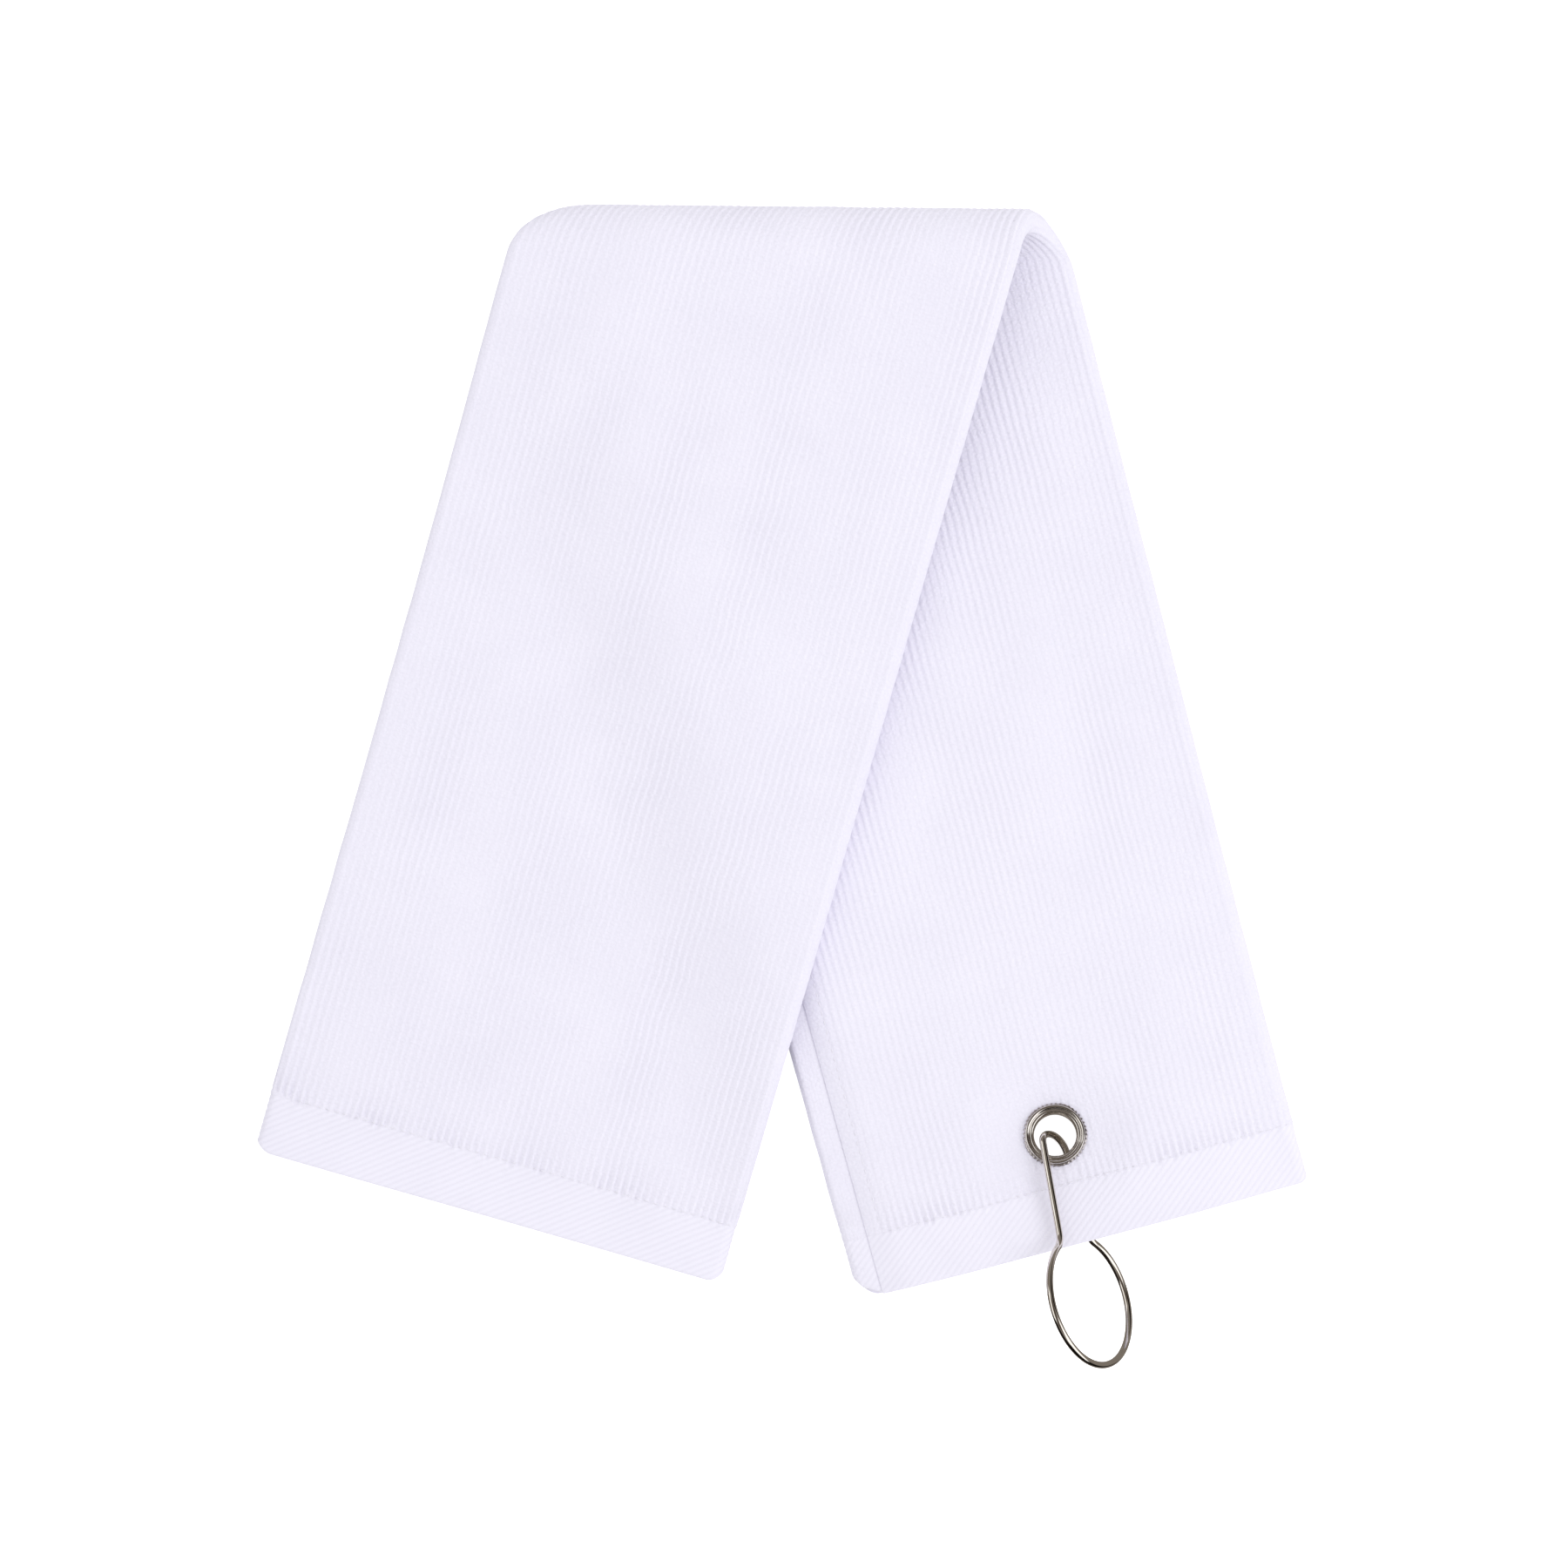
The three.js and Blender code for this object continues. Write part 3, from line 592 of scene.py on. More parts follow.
# ---- Wires, threads and turned parts ----
FIRST_NORMAL = (0.31, 0.17, 0.93)  # any direction that no wire starts along
ROUND_END = (0.35, 0.65, 0.87, 0.98)  # rings of a round end, in wire radii


def unit(vector):
    return vector / np.linalg.norm(vector)


def sweep(name, path, radius, sides):
    """A round wire with round ends along a list of points (metres)."""
    path = np.array(path)
    tangents = np.gradient(path, axis=0)
    tangents /= np.linalg.norm(tangents, axis=1)[:, None]
    turn = np.arange(sides)[:, None] * 2 * np.pi / sides

    def ring(centre, size, normal, tangent):
        return centre + size * (np.cos(turn) * normal + np.sin(turn) * np.cross(tangent, normal))

    def cap(centre, normal, tangent, sign):
        return [
            ring(centre + sign * tangent * radius * t, radius * math.sqrt(1 - t * t), normal, tangent)
            for t in ROUND_END
        ]

    normals = [unit(np.cross(tangents[0], FIRST_NORMAL))]
    for tangent in tangents:
        normals.append(unit(normals[-1] - tangent * normals[-1].dot(tangent)))
    normals = normals[1:]
    rings = cap(path[0], normals[0], tangents[0], -1)[::-1]
    rings += [ring(point, radius, *axes) for point, *axes in zip(path, normals, tangents)]
    rings += cap(path[-1], normals[-1], tangents[-1], 1)
    points = np.concatenate(rings)
    faces = []
    for k in range(len(rings) - 1):
        for m in range(sides):
            a, b = k * sides + m, k * sides + (m + 1) % sides
            faces.append((a, b, b + sides, a + sides))
    last = (len(rings) - 1) * sides
    faces.append(tuple(range(sides))[::-1])
    faces.append(tuple(range(last, last + sides)))
    obj = new_object(name, points.tolist(), faces)
    edit_mesh(obj, turn_outwards)
    return obj


def turned(name, profile, segments, matrix, radius_at=None):
    """A closed profile of (radius, height) in millimetres, turned about its frame's z axis."""
    turn = np.arange(segments) * 2 * np.pi / segments
    points = []
    for angle in turn:
        for r, z in profile:
            r = r if radius_at is None else radius_at(r, angle)
            points.append(matrix @ Vector((r * math.cos(angle), r * math.sin(angle), z)))
    count = len(profile)
    faces = []
    for k in range(segments):
        for m in range(count):
            a, b = k * count + m, k * count + (m + 1) % count
            c = ((k + 1) % segments) * count
            faces.append((a, b, c + (m + 1) % count, c + m))
    obj = new_object(name, [tuple(p) for p in points], faces)
    edit_mesh(obj, turn_outwards)
    return obj


# ---- Grommet, in its own frame: x across the strip, y towards the half-fold ----
HOLE_RADIUS = 6.2
METAL = 0.4
CURL_RADIUS = 8.6  # outer radius of the curled edge
CURL_INNER = 7.35
CURL_HEIGHT = 0.85
CURL_RISE = 0.9  # lower edge of the curl above the squeezed cloth
CURL_LEAN = 0.28  # the curl's top leans outwards
CURL_SWEEP = 165  # degrees of the curl, from its outer edge to the lip
FLANGE_RADIUS = 9.4
DOME_DEPTH = 1.0
SEAT_GAP = 0.3  # flange and washer off the squeezed cloth
WASHER_RADIUS = 9.45
WASHER_THICKNESS = 0.3
TOOTH_COUNT = 44
TOOTH_HEIGHT = 0.3
SHARP_EDGE = math.radians(50)
# The lip that the curl leaves round the hole: radius, and height over the curl's lower edge.
LIP = (
    (7.3, 0.16), (7.12, 0.30), (6.85, 0.30), (6.6, 0.16),
    (6.48, -0.02), (6.42, -0.30), (6.3, -0.42), (HOLE_RADIUS, -0.62),
)
# The washer's outline: radius beyond its own, and height over its seat.
WASHER_EDGE = ((-0.6, 0.0), (0.0, -0.22), (0.05, -0.1), (-0.12, 0.12), (-0.7, WASHER_THICKNESS))

ACROSS = Vector((math.cos(LEG_ANGLE), math.sin(LEG_ANGLE), 0.0))
GROMMET = Vector(JOINTS["hook_swing"]["pos_m"])


def towards_fold(pitch):
    """The direction along the strip towards the half-fold, pitched down."""
    return Vector((
        -math.sin(LEG_ANGLE) * math.cos(pitch),
        math.cos(LEG_ANGLE) * math.cos(pitch),
        -math.sin(pitch),
    ))


def frame_matrix(x, y, origin):
    """Local millimetres to world metres."""
    rotation = Matrix((x, y, x.cross(y))).transposed().to_4x4()
    return Matrix.Translation(origin) @ rotation @ Matrix.Scale(MM, 4)


GROMMET_FRAME = frame_matrix(ACROSS, towards_fold(END_SLOPE), GROMMET)


def ellipse(centre, radii, first, last, steps, lean=0.0):
    """Points of an ellipse whose top leans outwards."""
    angles = np.radians(np.linspace(first, last, steps + 1))
    return [
        (centre[0] + radii[0] * math.cos(a) + lean * math.sin(a), centre[1] + radii[1] * math.sin(a))
        for a in angles
    ]


def build_grommet():
    curl_edge = SQUEEZED_HALF + CURL_RISE
    curl = ((CURL_INNER + CURL_RADIUS) / 2, curl_edge)
    curl_half = (CURL_RADIUS - CURL_INNER) / 2
    dome = ((HOLE_RADIUS + FLANGE_RADIUS) / 2, -SQUEEZED_HALF - SEAT_GAP)
    dome_half = (FLANGE_RADIUS - HOLE_RADIUS) / 2
    profile = ellipse(curl, (curl_half, CURL_HEIGHT), 0, CURL_SWEEP, 14, CURL_LEAN)
    profile += [(radius, curl_edge + height) for radius, height in LIP]
    profile += ellipse(dome, (dome_half, DOME_DEPTH), 180, 360, 16)
    profile += ellipse(dome, (dome_half - METAL, DOME_DEPTH - METAL), 360, 180, 12)
    profile.append((HOLE_RADIUS + METAL, curl_edge - 0.7))
    curl_inside = (curl_half - METAL * 0.6, CURL_HEIGHT - METAL)
    profile += ellipse(curl, curl_inside, CURL_SWEEP, 0, 10, CURL_LEAN)
    eyelet = turned("grommet_eyelet_metal", profile, 128, GROMMET_FRAME)

    seat = SQUEEZED_HALF + SEAT_GAP
    bore = HOLE_RADIUS + METAL + 0.1
    edge = [(WASHER_RADIUS + beyond, seat + height) for beyond, height in WASHER_EDGE]
    profile = [(bore, seat), *edge, (bore, seat + WASHER_THICKNESS)]

    def toothed(r, angle):
        if r < WASHER_RADIUS - 0.3:
            return r
        tooth = 0.5 + 0.5 * math.cos(TOOTH_COUNT * angle)
        return r - TOOTH_HEIGHT * (1.25 - tooth) * (1 + 0.5 * math.sin(5 * angle))

    washer = turned("grommet_washer_metal", profile, TOOTH_COUNT * 6, GROMMET_FRAME, toothed)
    for obj in (eyelet, washer):
        edit_mesh(obj, mark_sharp)
    return eyelet, washer


def mark_sharp(work):
    for edge in work.edges:
        if len(edge.link_faces) == 2 and edge.calc_face_angle(0.0) > SHARP_EDGE:
            edge.smooth = False


# ---- Hook, in its own plane: x towards the front leg, y towards the grommet ----
WIRE_RADIUS = 1.0
WIRE_SIDES = 24
RING_RADIUS = 19.0
FRONT_NECK_X = 6.5
REAR_NECK_X = -8.3
NECK_BEND = 3.0  # length of the rounded corner on each side of a neck
ARCH_FRONT = np.array([1.9, 47.5])
ARCH_REAR = np.array([-8.8, 42.5])
ARCH_FRONT_PULL = 4.1
ARCH_REAR_PULL = 7.5
HOOK_REACH = 49.0  # ring centre to grommet centre, along the hook
HOOK_SIDE = -3.0  # hook axis beside the grommet's centre
HOOK_RISE = 2.8  # and above it
HOOK_PITCH = math.radians(8.7)
HOOK_ROLL = math.radians(54.4)
STUB = np.array([-8.5, 25.0])  # the ring wire's free end, beside the latch arm
CATCH_LEAD = 5.0  # the arm leaves the ring's plane this far above the stub
CATCH_OFFSET = 2.35
# The catch's way round the stub: out of the ring's plane and aside in catch offsets, down in mm.
CATCH_CURL = ((1.05, 0.0, -1.5), (1.15, 0.0, 2.0), (0.9, 0.8, 3.6), (0.1 / CATCH_OFFSET, 1.15, 4.0))


def hook_matrix():
    hook_y = towards_fold(HOOK_PITCH)
    normal = ACROSS.cross(hook_y)
    hook_x = -ACROSS * math.cos(HOOK_ROLL) + normal * math.sin(HOOK_ROLL)
    grommet_z = ACROSS.cross(towards_fold(END_SLOPE))
    offset = ACROSS * HOOK_SIDE + grommet_z * HOOK_RISE - hook_y * HOOK_REACH
    return frame_matrix(hook_x, hook_y, GROMMET + offset * MM)


HOOK_FRAME = hook_matrix()


def bezier(points, steps):
    """Points on a Bezier curve, without its first point."""
    t = (np.arange(1, steps + 1) / steps)[:, None]
    points = [np.array(p, float) for p in points]
    while len(points) > 1:
        points = [a * (1 - t) + b * t for a, b in zip(points[:-1], points[1:])]
    return list(points[0])


def smooth_through(points, steps):
    """A curve through all the points, with even tangents (Catmull-Rom on chord lengths)."""
    points = np.array(points, float)
    chords = np.sqrt(np.linalg.norm(np.diff(points, axis=0), axis=1))
    knots = np.concatenate([[0], np.cumsum(chords)])
    slopes = np.gradient(points, knots, axis=0)
    out = [points[0]]
    for k in range(len(points) - 1):
        span = knots[k + 1] - knots[k]
        for t in np.arange(1, steps + 1) / steps:
            here = (2 * t ** 3 - 3 * t ** 2 + 1) * points[k]
            there = (3 * t ** 2 - 2 * t ** 3) * points[k + 1]
            leaving = (t ** 3 - 2 * t ** 2 + t) * span * slopes[k]
            arriving = (t ** 3 - t ** 2) * span * slopes[k + 1]
            out.append(here + leaving + there + arriving)
    return out


def on_hook(x, y, z=0.0):
    return HOOK_FRAME @ Vector((x, y, z))


def neck(x, leg_top, ring_side):
    """A neck of the ring, where its bend leaves the leg, and at which angle it meets the ring."""
    point = np.array([x, math.sqrt(RING_RADIUS ** 2 - x ** 2)])
    on_leg = point + unit(leg_top - point) * NECK_BEND
    angle = math.atan2(point[1], point[0]) + ring_side * NECK_BEND / RING_RADIUS
    return point, on_leg, angle


def build_hook_wire():
    """Rear stub, ring, front leg and arch in one wire, up to the back of the grommet."""
    rear_neck, rear_leg, rear_angle = neck(REAR_NECK_X, STUB, 1)
    front_neck, front_leg, front_angle = neck(FRONT_NECK_X, ARCH_FRONT, -1)
    angles = np.linspace(rear_angle, front_angle + 2 * math.pi, 150)
    ring = [RING_RADIUS * np.array([math.cos(a), math.sin(a)]) for a in angles]
    path = [STUB] + bezier([STUB, rear_leg], 5) + bezier([rear_leg, rear_neck, ring[0]], 10)
    path += ring[1:] + bezier([ring[-1], front_neck, front_leg], 10)
    path += bezier([front_leg, ARCH_FRONT], 24)
    arch_pull = ARCH_FRONT + unit(ARCH_FRONT - front_neck) * ARCH_FRONT_PULL
    rear_pull = ARCH_REAR + np.array([0, ARCH_REAR_PULL])
    path += bezier([ARCH_FRONT, arch_pull, rear_pull, ARCH_REAR], 32)
    wire = sweep("hook_wire_metal", [on_hook(*point) for point in path], WIRE_RADIUS * MM, WIRE_SIDES)
    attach(wire, "hook")
    return wire


def build_latch_arm():
    """The springy rear leg, from behind the grommet to its catch round the ring wire's stub."""
    top = np.array([*ARCH_REAR, 0.0])
    catch = np.array([STUB[0], STUB[1] + CATCH_LEAD, 0.0])
    curl = [
        (STUB[0] - aside * CATCH_OFFSET, STUB[1] - drop, out * CATCH_OFFSET)
        for out, aside, drop in CATCH_CURL
    ]
    leg = [top, top * 0.65 + catch * 0.35, top * 0.3 + catch * 0.7, catch]
    path = [on_hook(*point) for point in smooth_through(leg + curl, 8)]
    arm = sweep("hook_latch_metal", path, WIRE_RADIUS * MM, WIRE_SIDES)
    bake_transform(arm)
    return arm


# ---- Seams ----
THREAD_RADIUS = 0.24
THREAD_SIDES = 8
THREAD_STEP = 0.35  # between two points of a thread
STITCH_PITCH = 2.8
STITCH_DEPTH = 0.85  # how deep a thread dips into the cloth between two stitches
STITCH_HEIGHT = 0.8
SEAM_FROM_EDGE = -0.4  # an end seam's offset from the hem's edge
FLAP_SEAM = 4.6  # from the flap's free edge to its seam
SEAM_MARGIN = 3.0  # the flap's seam stops this far from an end seam
BOTTOM_MARGIN, FLAP_MARGIN = 5.0, 6.5  # where an end seam starts and stops
FLAP_SEAM_STOP = 2.0  # on the lower leg, at the half-fold
FLAP_SEAM_START = -92.0  # on the upper leg, past the half-fold's shadow


def face_points(s, v, v_end, raise_by):
    """Points on the sheet's face (metres) at s across and v along, raised off it."""
    flap_start = DENSE.s[DENSE.kind == FLAP][0]
    out = []
    for one_s, one_v, rise in zip(s, v, raise_by):
        place = DENSE.place(np.array([[half_width(one_v)]]))
        u, n, du, dn = (np.interp(one_s, DENSE.s, values[0]) for values in place)
        norm = math.hypot(du, dn)
        taper = flap_taper(one_s)
        n = n - (1 - taper) * (SHEET_THICKNESS / 2 + FLAP_DIP) * (one_s > flap_start)
        height = surface_height(one_s, one_v, abs(v_end - one_v))
        offset = (SHEET_THICKNESS / 2 + height) * taper + rise
        n_out = n + dn / norm * offset
        point = cloth_points(u + du / norm * offset, one_v, n_out + unevenness(u, one_v, n_out))
        out.append(point * MM)
    return out


def stitch_rise(along):
    """Up over the cloth along each stitch, down into it between two."""
    wave = np.abs(np.cos(np.pi * along / STITCH_PITCH)) ** 0.5
    return STITCH_HEIGHT * wave - STITCH_DEPTH


def end_seam(name, v_end):
    start = DENSE.s[DENSE.kind == BOTTOM][0] + BOTTOM_MARGIN
    s = np.arange(start, DENSE.length - FLAP_MARGIN, THREAD_STEP)
    inwards = -1 if v_end > 0 else 1
    v = np.full(len(s), v_end + inwards * (HEM_DEPTH - SEAM_FROM_EDGE))
    return sweep(name, face_points(s, v, v_end, stitch_rise(s)), THREAD_RADIUS * MM, THREAD_SIDES)


def flap_seam(name, first, last, v_end):
    v = np.arange(first, last, -THREAD_STEP)
    s = np.full(len(v), DENSE.length - FLAP_SEAM)
    return sweep(name, face_points(s, v, v_end, stitch_rise(v)), THREAD_RADIUS * MM, THREAD_SIDES)


# ---- Materials ----
def new_material(name):
    material = bpy.data.materials.new(name)
    material.use_nodes = True
    tree = material.node_tree
    return material, tree, tree.nodes["Principled BSDF"]


def node(tree, kind, inputs=None, **settings):
    """A node with its settings, and its inputs given as values or as sockets to link."""
    made = tree.nodes.new(kind)
    for key, value in settings.items():
        setattr(made, key, value)
    for key, value in (inputs or {}).items():
        if isinstance(value, bpy.types.NodeSocket):
            tree.links.new(value, made.inputs[key])
        else:
            made.inputs[key].default_value = value
    return made


def math_node(tree, operation, *values):
    return node(tree, "ShaderNodeMath", dict(enumerate(values)), operation=operation).outputs[0]


LOOP_WIDTH, LOOP_LENGTH = 1.1, 0.92  # millimetres of cloth to one loop of the pile
# The cloth's base colour runs from a darker white in the valleys between the loops and in the twill's
# grooves, which is painted shade, to the crests' white; a random tone moves it too.
VALLEY_PAINTED_SHADE_WHITE = (0.835, 0.813, 0.925, 1)
CREST_WHITE = (0.905, 0.883, 0.99, 1)


def terry_material():
    """White velour terry: short loops along each rib, fine fibre, a soft sheen."""
    material, tree, shader = new_material("ribbed_terry")
    link = tree.links.new
    uv = node(tree, "ShaderNodeUVMap", uv_map="sheet").outputs[0]
    loops_map = node(tree, "ShaderNodeMapping", {
        "Vector": uv, "Scale": (UV_UNIT / LOOP_WIDTH, UV_UNIT / LOOP_LENGTH, 1.0),
    })
    loops = node(tree, "ShaderNodeTexVoronoi", {
        "Vector": loops_map.outputs[0], "Scale": 1.0, "Smoothness": 0.35, "Randomness": 0.62,
    }, feature="SMOOTH_F1").outputs["Distance"]
    place = node(tree, "ShaderNodeTexCoord").outputs["Object"]
    fibre = node(tree, "ShaderNodeTexNoise", {"Vector": place, "Scale": 2400.0, "Detail": 3.0})
    tone = node(tree, "ShaderNodeTexNoise", {"Vector": place, "Scale": 42.0, "Detail": 4.0})
    # The hem bands at both ends are flat twill, so their loops give way to slanting grooves.
    across, along = node(tree, "ShaderNodeSeparateXYZ", {0: uv}).outputs[:2]
    lower_hem = math_node(tree, "GREATER_THAN", along, (LOWER_LENGTH - HEM_DEPTH) / UV_UNIT)
    upper_hem = math_node(tree, "LESS_THAN", along, (FREE_END_V + HEM_DEPTH) / UV_UNIT)
    hem = math_node(tree, "ADD", lower_hem, upper_hem)
    pile = math_node(tree, "SUBTRACT", 1.0, hem)
    turn = 2 * math.pi * UV_UNIT / TWILL_PITCH
    phase_across = math_node(tree, "MULTIPLY", across, TWILL_ACROSS * turn)
    phase_along = math_node(tree, "MULTIPLY", along, TWILL_ALONG * turn)
    phase = math_node(tree, "ADD", phase_across, phase_along)
    wave = math_node(tree, "MULTIPLY_ADD", math_node(tree, "SINE", phase), 0.5, 0.5)
    groove = math_node(tree, "MULTIPLY", math_node(tree, "POWER", wave, TWILL_POWER), hem)

    def cloth_pattern(loop_share, groove_share):
        pattern = math_node(tree, "MULTIPLY", math_node(tree, "MULTIPLY", loops, loop_share), pile)
        return math_node(tree, "MULTIPLY_ADD", groove, groove_share, pattern)

    fibre_relief = math_node(tree, "MULTIPLY", fibre.outputs["Fac"], 0.5)
    relief = math_node(tree, "ADD", cloth_pattern(-1.0, -0.35), fibre_relief)
    bump = node(tree, "ShaderNodeBump", {"Strength": 0.6, "Distance": 0.00034, "Height": relief})
    link(bump.outputs[0], shader.inputs["Normal"])
    tone_shift = math_node(tree, "ADD", tone.outputs["Fac"], 0.35)
    # Painted shade: the colour darkens between the loops and in the twill's grooves, over a random tone.
    shade = math_node(tree, "ADD", cloth_pattern(-0.7, -0.5), tone_shift)
    colour = node(tree, "ShaderNodeMix", {0: shade, 6: VALLEY_PAINTED_SHADE_WHITE, 7: CREST_WHITE}, data_type="RGBA")
    link(colour.outputs[2], shader.inputs["Base Color"])
    shader.inputs["Roughness"].default_value = 0.96
    shader.inputs["Sheen Weight"].default_value = 0.18
    shader.inputs["Sheen Roughness"].default_value = 0.6
    shader.inputs["Specular IOR Level"].default_value = 0.12
    return material


def thread_material():
    """White sewing thread with a fine twist."""
    material, tree, shader = new_material("sewing_thread")
    place = node(tree, "ShaderNodeTexCoord").outputs["Object"]
    twist = node(tree, "ShaderNodeTexWave", {
        "Vector": place, "Scale": 1400.0, "Distortion": 1.5,
    }, bands_direction="DIAGONAL").outputs["Fac"]
    bump = node(tree, "ShaderNodeBump", {"Strength": 0.5, "Distance": 0.0001, "Height": twist})
    tree.links.new(bump.outputs[0], shader.inputs["Normal"])
    shader.inputs["Base Color"].default_value = (0.87, 0.85, 0.94, 1)
    shader.inputs["Roughness"].default_value = 0.7
    shader.inputs["Sheen Weight"].default_value = 0.2
    return material


def nickel_material(name, roughness, wear, scale, pitting, light, dark):
    """Polished nickel plate: warm grey, with faint pitting and dull patches."""
    material, tree, shader = new_material(name)
    link = tree.links.new
    place = node(tree, "ShaderNodeTexCoord").outputs["Object"]
    patches = node(tree, "ShaderNodeTexNoise", {
        "Vector": place, "Scale": scale, "Detail": 6.0,
    }).outputs["Fac"]
    rough = node(tree, "ShaderNodeMapRange", {
        "Value": patches, "From Min": 0.35, "From Max": 0.75,
        "To Min": roughness, "To Max": roughness + wear,
    })
    link(rough.outputs[0], shader.inputs["Roughness"])
    tint = node(tree, "ShaderNodeMix", {0: patches, 6: (*dark, 1), 7: (*light, 1)}, data_type="RGBA")
    link(tint.outputs[2], shader.inputs["Base Color"])
    bump = node(tree, "ShaderNodeBump", {"Strength": 0.25, "Distance": pitting, "Height": patches})
    link(bump.outputs[0], shader.inputs["Normal"])
    shader.inputs["Metallic"].default_value = 1.0
    return material


# ---- Assembly ----
def finish_piece(obj, material, slot, *replaced):
    """Gives a piece its only material, and hides the CAD nodes that it stands for."""
    obj.data.materials.clear()
    obj.data.materials.append(material)
    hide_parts(*replaced)


def cut_grommet_hole(obj):
    bpy.ops.mesh.primitive_cylinder_add(vertices=64, radius=CLOTH_HOLE_RADIUS, depth=CUTTER_DEPTH)
    cutter = bpy.context.object
    cutter.matrix_world = GROMMET_FRAME
    cut = obj.modifiers.new("grommet_hole", "BOOLEAN")
    cut.object = cutter
    cut.operation = "DIFFERENCE"
    cut.solver = "EXACT"
    bpy.context.view_layer.objects.active = obj
    bpy.ops.object.modifier_apply(modifier=cut.name)
    bpy.data.objects.remove(cutter)


STOOD_FOR = [["back_panel"], ["fold_lower"], ["fold_middle", "fold_upper"], ["front_panel"]]
BLEND_SHARE = 0.97  # of the way from a hinge to the nearer cut face


def roll_point(angle, radius):
    y = math.sin(angle) * radius + FOLD_Y
    z = ROLL_RADIUS - math.cos(angle) * radius
    return Vector((FOLD_X, y, z)) * MM


def blend_over_hinge(obj, number):
    """Works out a stretch's reach over its hinge, which nothing uses, and bakes its transform into its
    mesh.
    """
    begin, end = HINGE_STEP * number, HINGE_STEP * (number + 1)
    direction = (roll_point(end, ROLL_RADIUS) - roll_point(begin, ROLL_RADIUS)).normalized()
    hinge = Vector(HINGES[number]["pos_m"])
    reach = BLEND_SHARE * min(
        (roll_point(end, ROLL_RADIUS - STACK) - hinge).dot(direction),
        (hinge - roll_point(begin, ROLL_RADIUS - STACK)).dot(direction),
    )
    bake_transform(obj)


def assemble():
    terry = terry_material()
    cloth = build_towel()
    cut_grommet_hole(cloth[0])
    for number, piece in enumerate(cloth):
        blend_over_hinge(piece, number)
        finish_piece(piece, terry, "terry", *STOOD_FOR[number])
    wire_nickel = nickel_material(
        "nickel_wire", roughness=0.04, wear=0.05, scale=160.0, pitting=0.000002,
        light=(0.78, 0.74, 0.69), dark=(0.68, 0.63, 0.57),
    )
    finish_piece(build_hook_wire(), wire_nickel, "nickel", "hook_wire")
    finish_piece(build_latch_arm(), wire_nickel, "nickel", "hook_latch_arm")
    grommet_nickel = nickel_material(
        "nickel_grommet", roughness=0.03, wear=0.08, scale=700.0, pitting=0.00001,
        light=(0.78, 0.75, 0.72), dark=(0.66, 0.62, 0.58),
    )
    washer_nickel = nickel_material(
        "nickel_washer", roughness=0.22, wear=0.20, scale=1500.0, pitting=0.0001,
        light=(0.66, 0.62, 0.63), dark=(0.50, 0.46, 0.46),
    )
    eyelet, washer = build_grommet()
    finish_piece(eyelet, grommet_nickel, "nickel", "grommet_eyelet")
    finish_piece(washer, washer_nickel, "nickel", "grommet_washer")
    thread = thread_material()
    lower_end = end_seam("seam_grommet_end", LOWER_LENGTH)
    upper_end = end_seam("seam_free_end", FREE_END_V)
    lower_start = LOWER_LENGTH - HEM_DEPTH - SEAM_MARGIN
    lower_flap = flap_seam("seam_flap_lower", lower_start, FLAP_SEAM_STOP, LOWER_LENGTH)
    upper_stop = FREE_END_V + HEM_DEPTH + SEAM_MARGIN
    upper_flap = flap_seam("seam_flap_upper", FLAP_SEAM_START, upper_stop, FREE_END_V)
    finish_piece(lower_end, thread, "thread", "grommet_end_hem_thread")
    finish_piece(upper_end, thread, "thread", "free_end_hem_thread")
    finish_piece(lower_flap, thread, "thread", "flap_hem_thread_back")
    finish_piece(upper_flap, thread, "thread", "flap_hem_thread_front")
    for piece in (eyelet, washer, lower_end, lower_flap):
        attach(piece, "lower_leg")
    for piece in (upper_end, upper_flap):
        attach(piece, "upper_leg")


# ---- Stage, light and camera, in metres ----
FLOOR_SIZE = 14.0
FLOOR_GAP = 0.0002
FLOOR_GLOW = 0.8


def build_floor():
    bpy.ops.mesh.primitive_plane_add(size=FLOOR_SIZE, location=(0, 0, CAD_BOX[0][2] - FLOOR_GAP))
    floor = bpy.context.object
    floor.name = "floor"
    material, tree, shader = new_material("floor_white")
    shader.inputs["Base Color"].default_value = (0.9, 0.9, 0.9, 1)
    shader.inputs["Roughness"].default_value = 0.9
    shader.inputs["Emission Color"].default_value = (1, 1, 1, 1)
    see_through = node(tree, "ShaderNodeBsdfTransparent")
    facing = node(tree, "ShaderNodeNewGeometry")
    rays = node(tree, "ShaderNodeLightPath")
    # White to the camera, but no lamp to the cloth; polished metal mirrors the studio through it.
    glow = math_node(tree, "MULTIPLY", rays.outputs["Is Camera Ray"], FLOOR_GLOW)
    tree.links.new(glow, shader.inputs["Emission Strength"])
    hidden = math_node(tree, "MAXIMUM", facing.outputs["Backfacing"], rays.outputs["Is Glossy Ray"])
    mix = node(tree, "ShaderNodeMixShader", {0: hidden, 1: shader.outputs[0], 2: see_through.outputs[0]})
    tree.links.new(mix.outputs[0], tree.nodes["Material Output"].inputs["Surface"])
    floor.data.materials.append(material)


def area_light(name, location, size, power):
    """A square lamp that faces the towel and that polished metal doesn't mirror."""
    data = bpy.data.lights.new(name, "AREA")
    data.size = size
    data.energy = power
    light = bpy.data.objects.new(name, data)
    bpy.context.scene.collection.objects.link(light)
    light.location = location
    light.rotation_euler = (-Vector(location)).to_track_quat("-Z", "Y").to_euler()
    light.visible_glossy = False


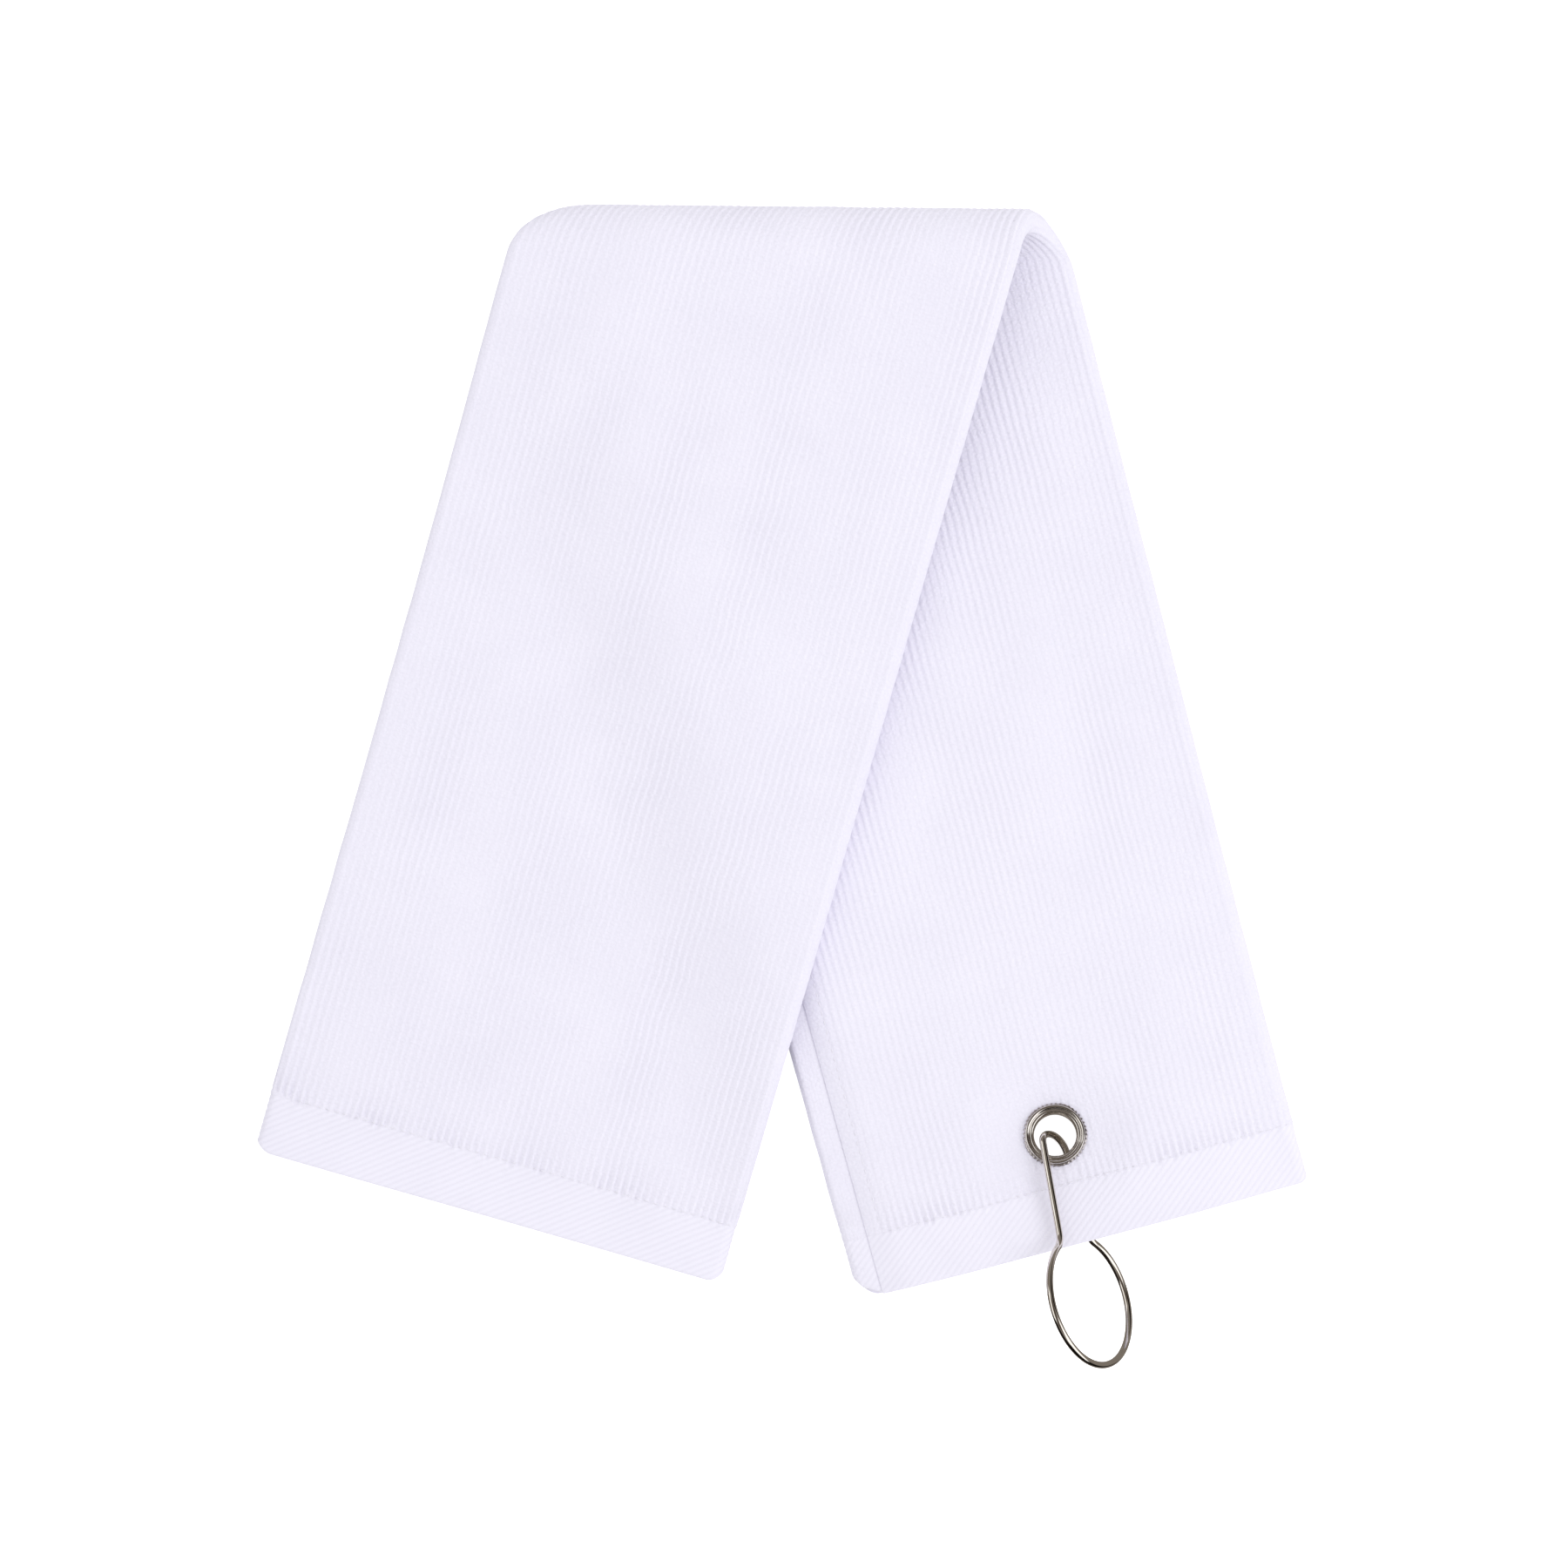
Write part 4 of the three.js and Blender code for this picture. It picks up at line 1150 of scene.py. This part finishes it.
# What polished metal mirrors, above and below it: a grey room with light and dark cards. Degrees
# anticlockwise from +x, degrees up, half sizes as sines, colour; a later card hides an earlier one.
ROOM = (0.25, 0.225, 0.20, 1)
CARD_SOFTNESS = 0.05
CARDS = (
    (0, 90, 0.42, 0.42, (0.10, 0.08, 0.065)),
    (266, 8, 0.90, 0.56, (0.004, 0.003, 0.002)),
    (342, 34, 0.44, 0.42, (1.5, 1.5, 1.5)),
    (38, 30, 0.32, 0.36, (0.01, 0.008, 0.006)),
    (178, 40, 0.42, 0.30, (1.3, 1.3, 1.28)),
)


def build_world(strength):
    """Even white for the cloth, and the room with its cards for polished metal."""
    world = bpy.data.worlds.new("studio")
    bpy.context.scene.world = world
    world.use_nodes = True
    tree = world.node_tree
    even = tree.nodes["Background"]
    even.inputs["Color"].default_value = (1, 1, 1, 1)
    even.inputs["Strength"].default_value = strength
    direction = node(tree, "ShaderNodeTexCoord").outputs["Generated"]

    def dot(axis):
        made = node(tree, "ShaderNodeVectorMath", {0: direction, 1: axis}, operation="DOT_PRODUCT")
        return made.outputs["Value"]

    def inside(axis, half):
        """1 where the direction is within the card's half size along one of its axes."""
        return node(tree, "ShaderNodeMapRange", {
            "Value": math_node(tree, "ABSOLUTE", dot(axis)), "From Min": half + CARD_SOFTNESS,
            "From Max": half - CARD_SOFTNESS, "To Min": 0.0, "To Max": 1.0,
        }, interpolation_type="SMOOTHSTEP").outputs[0]

    def card(azimuth, elevation, half_across, half_high):
        a, e = math.radians(azimuth), math.radians(elevation)
        forward = (math.cos(a) * math.cos(e), math.sin(a) * math.cos(e), math.sin(e))
        up = (-math.cos(a) * math.sin(e), -math.sin(a) * math.sin(e), math.cos(e))
        across = inside((-math.sin(a), math.cos(a), 0.0), half_across)
        ahead = math_node(tree, "GREATER_THAN", dot(forward), 0.0)
        face = math_node(tree, "MULTIPLY", across, inside(up, half_high))
        return math_node(tree, "MULTIPLY", face, ahead)

    colour = ROOM
    for *place, shade in CARDS:
        colour = node(tree, "ShaderNodeMix", {
            0: card(*place), 6: colour, 7: (*shade, 1),
        }, data_type="RGBA").outputs[2]
    mirrored = node(tree, "ShaderNodeBackground", {"Color": colour, "Strength": 1.0})
    rays = node(tree, "ShaderNodeLightPath")
    mix = node(tree, "ShaderNodeMixShader", {
        0: rays.outputs["Is Glossy Ray"], 1: even.outputs[0], 2: mirrored.outputs[0],
    })
    tree.links.new(mix.outputs[0], tree.nodes["World Output"].inputs["Surface"])


CAMERA_DISTANCE = 1.4
CAMERA_PLACE = (-0.0019, 0.0002)  # over the towel, almost at the frame's origin
CAMERA_ROLL = math.radians(0.6)
FRAME_WIDTH = 0.459  # width of the table that the picture shows


def build_camera():
    data = bpy.data.cameras.new("camera")
    data.lens = data.sensor_width * CAMERA_DISTANCE / FRAME_WIDTH
    camera = bpy.data.objects.new("camera", data)
    bpy.context.scene.collection.objects.link(camera)
    camera.location = (*CAMERA_PLACE, CAMERA_DISTANCE)
    camera.rotation_euler = (0, 0, CAMERA_ROLL)
    bpy.context.scene.camera = camera


assemble()
build_floor()
build_world(0.88)
area_light("key", (1.15, 0.10, 1.15), size=0.9, power=5.7)
area_light("fill", (-0.9, -0.9, 1.1), size=1.5, power=1.0)
build_camera()
bpy.context.scene.view_settings.view_transform = "Standard"
